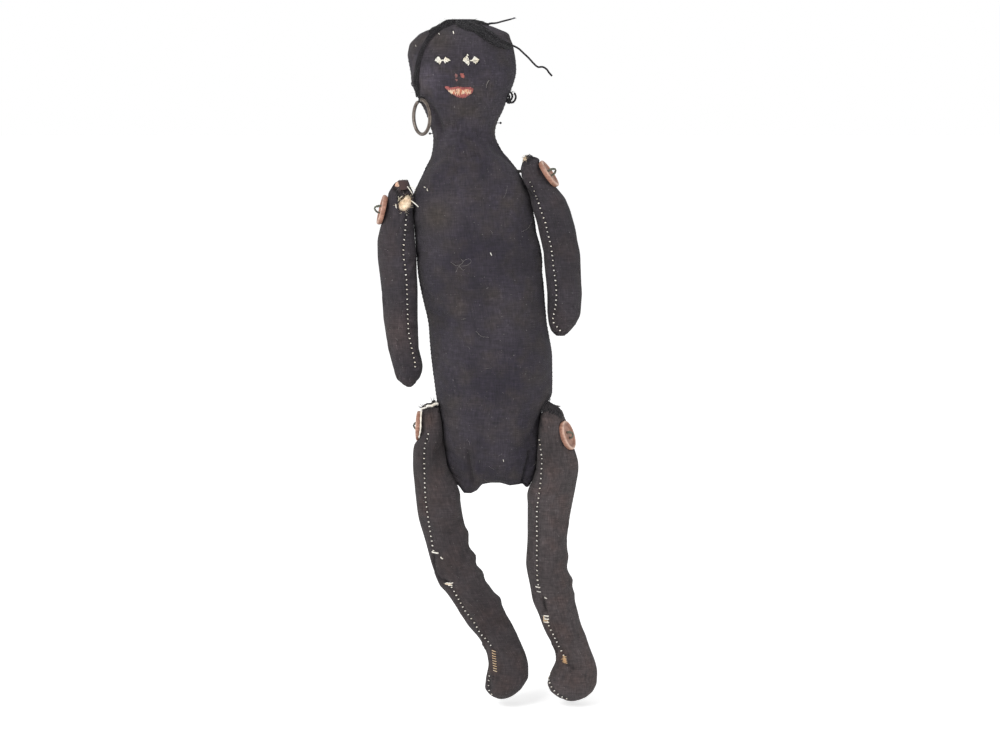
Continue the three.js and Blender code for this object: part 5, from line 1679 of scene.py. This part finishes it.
def dome(name, form, outline, rise, sink, seed, material, rings=8, rough=0.55):
    """A lump of stuffing that fills an outline of pixels, its edge tucked under the cloth."""
    edge = spline(outline + outline[:1], 48)[:-1]
    middle = edge.mean(0)
    points = []
    for k in range(rings + 1):
        share = k / rings
        for x, y in middle + (edge - middle) * share:
            lift = rise * MM * (1 - share**2) - sink * MM * share**4
            place, normal = form.at(x, y)
            at = place / DOME_GRAIN
            bumps = noise.noise(at + Vector((seed, 0, 0))) + 0.5 * noise.noise(at * 2.3)
            points.append(place + normal * (lift + rough * MM * bumps))
    count = len(edge)
    faces = tube_faces(rings + 1, count, turned=True)
    last = rings * count
    faces += [(last + i, len(points), last + (i + 1) % count) for i in range(count)]
    points.append(form.at(*middle, -sink * MM * 2.5)[0])
    return add_mesh(name, points, faces, material, np.zeros((len(points), 2)))


def tufts(form, outline, rng, count, length, radius, rise):
    """Fibres of stuffing that curl over the lump inside an outline of pixels."""
    edge = np.array(outline, float)
    middle = edge.mean(0)
    found = []
    for _ in range(count):
        corner = edge[rng.integers(0, len(edge))]
        x, y = middle + (corner - middle) * rng.uniform(0, 1.05)
        share = np.hypot(x - middle[0], y - middle[1]) / (np.hypot(*(corner - middle)) + 1e-9)
        place, normal = form.at(x, y, rise * MM * (1 - share**2))
        long = length * MM * rng.uniform(0.5, 1.3)
        thick = radius * MM * rng.uniform(0.6, 1.4)
        stand = rng.uniform(0.2, 1.2) * MM
        found.append(fibre(form, place, normal, long, thick, rng, 3.0, 0.0, stand))
    return found


def flap(name, corners, depths, thickness, material):
    """A small turned-up piece of cloth between four pixels: top left, top right, low right, low left."""
    steps = FLAP_STEPS
    front = []
    for j in range(steps + 1):
        v = j / steps
        for i in range(steps + 1):
            u = i / steps
            top = np.array(corners[0]) * (1 - u) + np.array(corners[1]) * u
            low = np.array(corners[3]) * (1 - u) + np.array(corners[2]) * u
            x, y = top * (1 - v) + low * v
            bow = math.sin(math.pi * u) * FLAP_BOW
            depth = depths[0] * (1 - v) + depths[1] * v - bow
            place = pixel_point(x, y, depth * MM)
            ripple = FLAP_RIPPLE * noise.noise(place / FLAP_RIPPLE_SIZE)
            front.append(place + Vector((0, ripple, ripple * (1 - v))))
    back = [p + Vector((0, thickness, 0)) for p in front]
    n = steps + 1
    faces = []
    for j in range(steps):
        for i in range(steps):
            a = j * n + i
            faces.append((a, a + n, a + n + 1, a + 1))
            b = a + n * n
            faces.append((b, b + 1, b + n + 1, b + n))
    edge = list(range(n)) + [j * n + steps for j in range(1, n)]
    edge += [steps * n + i for i in range(steps - 1, -1, -1)] + [j * n for j in range(steps - 1, 0, -1)]
    for a, b in zip(edge, edge[1:] + edge[:1]):
        faces.append((a, b, b + n * n, a + n * n))
    uv = np.array([[p.x, p.z] for p in front + back]) / MM
    return add_mesh(name, front + back, faces, material, uv)


# Right arm: the torn opening with its wad, raw edge, lining and flap
EDGE_STEPS = 90
RIGHT_ARM_RIM = RIGHT_ARM_TEAR + RIGHT_ARM_TEAR[:1]
RIGHT_ARM_FRAYS = [
    (RIGHT_ARM_RIM, 60, 1.1, 0.09),
    ([(393, 190), (397, 195), (400, 197)], 26, 2.4, 0.11, (0.3, 0.4)),
    ([(400, 189), (405, 192), (409, 194)], 30, 2.6, 0.11, (0.2, 0.5)),
    ([(398, 181), (403, 181), (407.5, 181)], 22, 0.9, 0.08, (0, -0.8)),
]
RIGHT_ARM_LOOSE = [
    (0.3, (407.4, 186.6, -7), (409, 188.6, -8.2), (411, 191.6, -8.4), (412.6, 194.4, -7.4)),
    (0.26, (410.2, 186.4, -5), (412, 187.2, -6), (413.6, 188.6, -6.6), (415.1, 190.5, -6.6)),
    (0.36, (410.6, 200.4, -8.6), (413, 202, -10.4), (415.6, 204.2, -10.8), (418.4, 206.9, -10.2)),
]
RIGHT_ARM_BARS = [
    ((398.6, 200.2), (403.2, 196.2), 0.2, 1.0),
    ((398, 202), (400.6, 199.6), 0.14, 0.8),
    ((395.8, 204), (396.6, 208.2), 0.28, 0.4),
    ((398, 196.8), (398.6, 197.6), 0.2, 0.5),
]
rng = np.random.default_rng(57)
wad = dome("right_arm_wad", right_arm, WAD_OUTLINE, 1.5, 1.6, 3.0, "cream_waste", 14, 0.3)
finish_piece(wad, "right_arm", "stuffing", "right_arm_stuffing")
pale = tufts(right_arm, RIGHT_ARM_TEAR, rng, 110, 3, 0.07, 1.0)
sew("right_arm_wad_fibres", pale, "cream_fibre", 4, "right_arm", "stuffing")
rim = right_arm.lay(spline(RIGHT_ARM_RIM, EDGE_STEPS), 0.15 * MM)
steps = np.arange(EDGE_STEPS)
rim_radius = 0.3 * MM * (1 + 0.35 * np.sin(steps * 1.7) * np.sin(steps * 0.61))
sew("right_arm_torn_edge", [(rim, rim_radius)], "torn_cotton", 7, "right_arm", "limb_cloth")
dark = frays(right_arm, rng, RIGHT_ARM_FRAYS)
sew("right_arm_broken_threads", dark, "black_thread", 5, "right_arm", "black_thread")
pale = free_threads(RIGHT_ARM_LOOSE) + bars(right_arm, RIGHT_ARM_BARS)
sew("right_arm_pale_threads", pale, "white_floss", 7, "right_arm", "cream_thread")
patch = dome("right_arm_lining_patch", right_arm, LINING_PATCH, 1.8, 0.5, 8.0, "blush_waste")
finish_piece(patch, "right_arm", "stuffing")
tab = flap("right_arm_torn_flap", FLAP_CORNERS, (-1.5, -6.5), 0.7 * MM, "torn_cotton")
finish_piece(tab, "right_arm", "limb_cloth")

# Left arm, with a tuft at its top
LEFT_ARM_FRAYS = [([(522, 162), (526, 158), (532, 155.4)], 34, 1.4, 0.09, (0.2, -0.5))]
LEFT_ARM_LOOSE = [(0.4, (526.6, 158.6, -4), (527.6, 156, -3), (529.8, 155, -2), (532, 156.4, -3))]
tuft = dome("left_arm_tuft", left_arm, LEFT_ARM_TUFT, 0.9, 0.8, 5.0, "cream_waste")
finish_piece(tuft, "left_arm", "stuffing", "left_arm_stuffing")
pale = tufts(left_arm, LEFT_ARM_TUFT, rng, 34, 2.2, 0.08, 0.8)
sew("left_arm_tuft_fibres", pale, "cream_fibre", 4, "left_arm", "stuffing")
dark = frays(left_arm, rng, LEFT_ARM_FRAYS) + free_threads(LEFT_ARM_LOOSE)
sew("left_arm_broken_threads", dark, "black_thread", 5, "left_arm", "black_thread")

# Right leg: the strip of lining at the top and the side, and the open seam at the knee
STRIP = [(437.4, 402.6, -7), (434, 402, -7.5), (430.6, 401.6, -7.5), (427, 402.2, -7), (424, 403.6, -5),
         (421.8, 405.8, -3.4)]
STRIP_END = [(421.4, 409, -4.4), (421.1, 413, -6.6), (420.8, 420, -9.4), (420.6, 428, -9.6),
             (419.8, 434, -8), (418.9, 438, -5.4)]
STRIP_STEPS = 50
STRIP_FRAYS = [([p[:2] for p in STRIP], 24, 1.4, 0.08, (-0.3, -0.2))]
RIGHT_LEG_FRAYS = [
    ([(424, 405), (429, 403), (436, 403.5)], 40, 2.0, 0.1, (0.1, 0.6)),
    ([(429, 400), (433, 399.4), (437, 399)], 22, 2.6, 0.11, (0.1, -0.9)),
    ([(419, 404.5), (421.5, 403.5)], 8, 2.0, 0.11, (-0.8, -0.5)),
    (KNEE_GAP, 46, 1.4, 0.09, (0.2, 0.2), 0.4),
]
RIGHT_LEG_DARK_BARS = [
    ((489.4, 675), (494.6, 677), 0.24),
    ((490.4, 678.4), (494, 679.8), 0.2),
]
RIGHT_LEG_BARS = [
    ((431.6, 551.6), (438.6, 553.2), 0.5),
    ((440.8, 557), (442.8, 558.8), 0.4),
    ((445, 583.4), (453.4, 582.8), 0.34),
    ((448, 585.2), (452.6, 585), 0.3),
]
edge = [pixel_point(x, y, depth * MM) for x, y, depth in spline(STRIP, STRIP_STEPS)]
edge = point_array(right_leg.near(p, 0.4 * MM)[0] for p in edge)
whole = np.concatenate([edge, free_path(STRIP_END, EDGE_STEPS - STRIP_STEPS)])
whole_radius = 0.7 * MM * (1 + 0.2 * np.sin(steps * 0.9)) * np.linspace(1.1, 0.6, EDGE_STEPS)
strip = [(whole, whole_radius), (edge + np.array([0.3, 0.3, -0.6]) * MM, 0.45 * MM)]
strip += frays(right_leg, rng, STRIP_FRAYS)
sew("right_leg_raw_edge", strip, "cream_thread", 6, "right_leg", "stuffing", "right_leg_stuffing")
dark = frays(right_leg, rng, RIGHT_LEG_FRAYS) + bars(right_leg, RIGHT_LEG_DARK_BARS)
sew("right_leg_broken_threads", dark, "black_thread", 5, "right_leg", "black_thread")
pale = bars(right_leg, RIGHT_LEG_BARS) + tufts(right_leg, KNEE_TUFT, rng, 16, 1.6, 0.08, 0.4)
sew("right_leg_pale_threads", pale, "cream_thread", 6, "right_leg", "cream_thread")
ankle = ladder(right_leg, 9, (491.8, 650.2), (0.2, 2.5), (495.8, 651.6), (0.15, 2.5), 0.24)
sew("right_leg_ankle_threads", ankle, "orange_thread", 6, "right_leg", "cream_thread")
tuft = dome("right_leg_knee_tuft", right_leg, KNEE_TUFT, 0.4, 0.5, 9.0, "cream_waste", rough=0.25)
finish_piece(tuft, "right_leg", "stuffing")

# Left leg: the gathered top, the open seam below the knee and the worn heel
GATHER = [(541.2, 411, -7), (542, 405, -8), (545, 400.8, -8), (548.4, 402, -8), (550, 406.5, -8),
          (551, 412, -7)]
GATHER_SHIFTS = [0, 1.3, 2.6, 4.2, 6, 8, 10.5]
GATHER_DROP_SHARE = 0.62
LEFT_LEG_TOP_FRAYS = [
    ([(542, 410), (546, 408), (552, 409), (558, 412), (563, 416)], 150, 1.5, 0.12, (-0.1, -0.4)),
    ([(542, 406), (545, 404), (548, 405)], 60, 2.6, 0.13, (-0.6, -0.4)),
    ([(542, 412), (549, 410), (560, 414)], 70, 2.4, 0.12, (0.1, 0.5)),
]
LEFT_LEG_LOOSE = [
    (0.34, (543.6, 406, -7), (545.2, 400, -8), (544.4, 395.6, -6.6)),
    (0.4, (547.4, 404.6, -7), (547.8, 399, -8.6), (550.4, 394.8, -7)),
    (0.3, (545.6, 406, -8), (549, 402.4, -9.4), (550.4, 398.6, -8)),
]
LEFT_LEG_FRAYS = [
    ([(542, 414), (541, 430), (540, 450), (539.6, 468)], 60, 1.3, 0.1, (0.2, 0), 0.5),
    (SHIN_GAP, 24, 1.2, 0.09, (0.1, 0.2), 0.4),
    ([(570, 670.6), (571.4, 671)], 10, 1.0, 0.1),
    ([(585, 674.6), (586, 675)], 8, 0.9, 0.1),
]
LEFT_LEG_BARS = [
    ((535.6, 586.2), (540.2, 587.6), 0.36),
    ((537, 591), (541, 592), 0.3),
    ((544.8, 597), (546.8, 598.4), 0.32),
]
TOE_FRAYS = [([(597.6, 672), (598, 676)], 8, 1.2, 0.08, (0.6, 0), 0.3)]
SHIN_BARS = [
    ((544.2, 614.8), (544.4, 622.8), 0.34),
    ((544.6, 620), (548, 620.6), 0.3),
]


def gathers(rng):
    """Loops of cloth in folds along the sloping top of the leg."""
    found = []
    for shift in GATHER_SHIFTS:
        drop = shift * GATHER_DROP_SHARE
        drops = [drop / 2] + [drop] * (len(GATHER) - 1)
        loop = [(x + shift, y + down, depth) for (x, y, depth), down in zip(GATHER, drops)]
        found.append((free_path(loop), rng.uniform(0.4, 0.6) * MM))
    return found


dark = frays(left_leg, rng, LEFT_LEG_TOP_FRAYS) + free_threads(LEFT_LEG_LOOSE) + gathers(rng)
dark += frays(left_leg, rng, LEFT_LEG_FRAYS)
sew("left_leg_broken_threads", dark, "black_thread", 5, "left_leg", "black_thread",
    "left_leg_stuffing")
pale = bars(left_leg, LEFT_LEG_BARS)
pale += ladder(left_leg, 3, (543.6, 615.4), (0.2, 3.1), (548.9, 616.2), (0, 3.1), 0.44)
pale += tufts(left_leg, SHIN_TUFT, rng, 12, 1.6, 0.07, 0.5)
pale += frays(left_leg, rng, TOE_FRAYS)
sew("left_leg_pale_threads", pale, "cream_thread", 6, "left_leg", "cream_thread")
tuft = dome("left_leg_ankle_tuft", left_leg, ANKLE_TUFT, 0.8, 0.6, 12.0, "orange_waste")
finish_piece(tuft, "left_leg", "stuffing")
ankle = tufts(left_leg, ANKLE_TUFT, rng, 30, 2.2, 0.09, 0.7)
ankle += ladder(left_leg, 4, (562.6, 655.6), (0.6, 2.2), (566.4, 657), (0.3, 2.1), 0.26)
ankle += bars(left_leg, SHIN_BARS)
sew("left_leg_ankle_threads", ankle, "orange_thread", 6, "left_leg", "cream_thread")

# Flecks and loose fibres over all the cloth
CHEEK_FIBRE = [(486.2, 88), (486.4, 85), (487.6, 82), (489, 80.4)]
LOOSE_FIBRES = [
    [(451, 262), (456, 265.5), (461, 264), (465, 260), (469.5, 259), (471, 262), (466, 265.5),
     (459, 266)],
    [(456, 272), (459, 266), (463, 262), (461, 259)],
    [(459, 266), (463, 270), (466, 268.5)],
    [(507, 186), (506, 192), (503.5, 198)],
    [(521, 232), (528, 228), (531, 222)],
    [(476, 331), (481, 336), (489, 337.5)],
]
BODY_BARS = [
    ((490.4, 252.6), (491.6, 255.6), 0.28, 0.3),
    ((503.2, 459.6), (503.6, 461.8), 0.2, 0.3),
    ((424, 187), (425.6, 187.6), 0.24, 0.3),
    ((427.2, 188.6), (427.8, 191), 0.24, 0.3),
    ((415.6, 45), (416.4, 46.6), 0.11, 0.3),
]
rng = np.random.default_rng(71)
sew("body_bright_threads", bars(body, BODY_BARS), "white_floss", 6, "torso", "cream_thread")
flecks = [(body.lay(spline(CHEEK_FIBRE, 16), 0.2 * MM), 0.1 * MM)]
flecks += [(body.lay(spline(line, 40), 0.25 * MM), 0.06 * MM) for line in LOOSE_FIBRES]
flecks += lint(body, 90, rng, 5 * MM)
sew("body_lint", flecks, "pale_fibre", 4, "torso", "cream_thread")
for name, form in limbs.items():
    sew(f"{name}_lint", lint(form, 36, rng, 3.5 * MM), "pale_fibre", 4, name, "cream_thread")


# Floor and light
FLOOR_GAP = 4 * MM
FLOOR_REACH = 8
WORLD_LEVEL = 0.55
FLOOR_GLOW = 0.5
LAMPS = {"key": ((-0.9, -1.3, 1.0), 0.9, 22), "fill": ((1.2, -1.2, 0.3), 1.0, 8)}


def add_stage():
    look = Look("pale_floor", 0.9)
    grain = look.noise(look.place, 30, 3.0)
    look.colour(look.mix(grain, (247, 247, 247), (250, 250, 250)))
    look.shader.inputs["Emission Color"].default_value = (1, 1, 1, 1)
    path = look.add("ShaderNodeLightPath")
    seen = look.math("MAXIMUM", path.outputs["Is Camera Ray"], path.outputs["Is Glossy Ray"])
    look.feed(look.shader.inputs["Emission Strength"], look.times(seen, FLOOR_GLOW))
    floor_z = cad_box[0].z - FLOOR_GAP
    signs = [(-1, -1), (1, -1), (1, 1), (-1, 1)]
    corners = [(x * FLOOR_REACH, y * FLOOR_REACH, floor_z) for x, y in signs]
    floor = add_mesh("floor", corners, [(0, 1, 2, 3)], "pale_floor")


def add_lamp(name, place, size, power):
    lamp = bpy.data.objects.new(name, bpy.data.lights.new(name, "AREA"))
    lamp.data.size = size
    lamp.data.energy = power
    lamp.location = place
    lamp.rotation_euler = (Vector(place) - VIEW_TARGET).to_track_quat("Z", "Y").to_euler()
    bpy.context.scene.collection.objects.link(lamp)


def set_world(strength):
    world = bpy.data.worlds.new("studio")
    bpy.context.scene.world = world
    world.use_nodes = True
    nodes = world.node_tree.nodes
    links = world.node_tree.links
    background = nodes["Background"]
    background.inputs["Color"].default_value = (1, 1, 1, 1)
    path = nodes.new("ShaderNodeLightPath")
    seen = nodes.new("ShaderNodeMath")
    seen.operation = "MAXIMUM"
    links.new(path.outputs["Is Camera Ray"], seen.inputs[0])
    links.new(path.outputs["Is Glossy Ray"], seen.inputs[1])
    level = nodes.new("ShaderNodeMapRange")
    level.inputs["To Min"].default_value = strength
    level.inputs["To Max"].default_value = 1.0
    links.new(seen.outputs[0], level.inputs["Value"])
    links.new(level.outputs[0], background.inputs["Strength"])


bpy.context.scene.view_settings.view_transform = "Standard"
add_stage()
set_world(WORLD_LEVEL)
for name, given in LAMPS.items():
    add_lamp(name, *given)
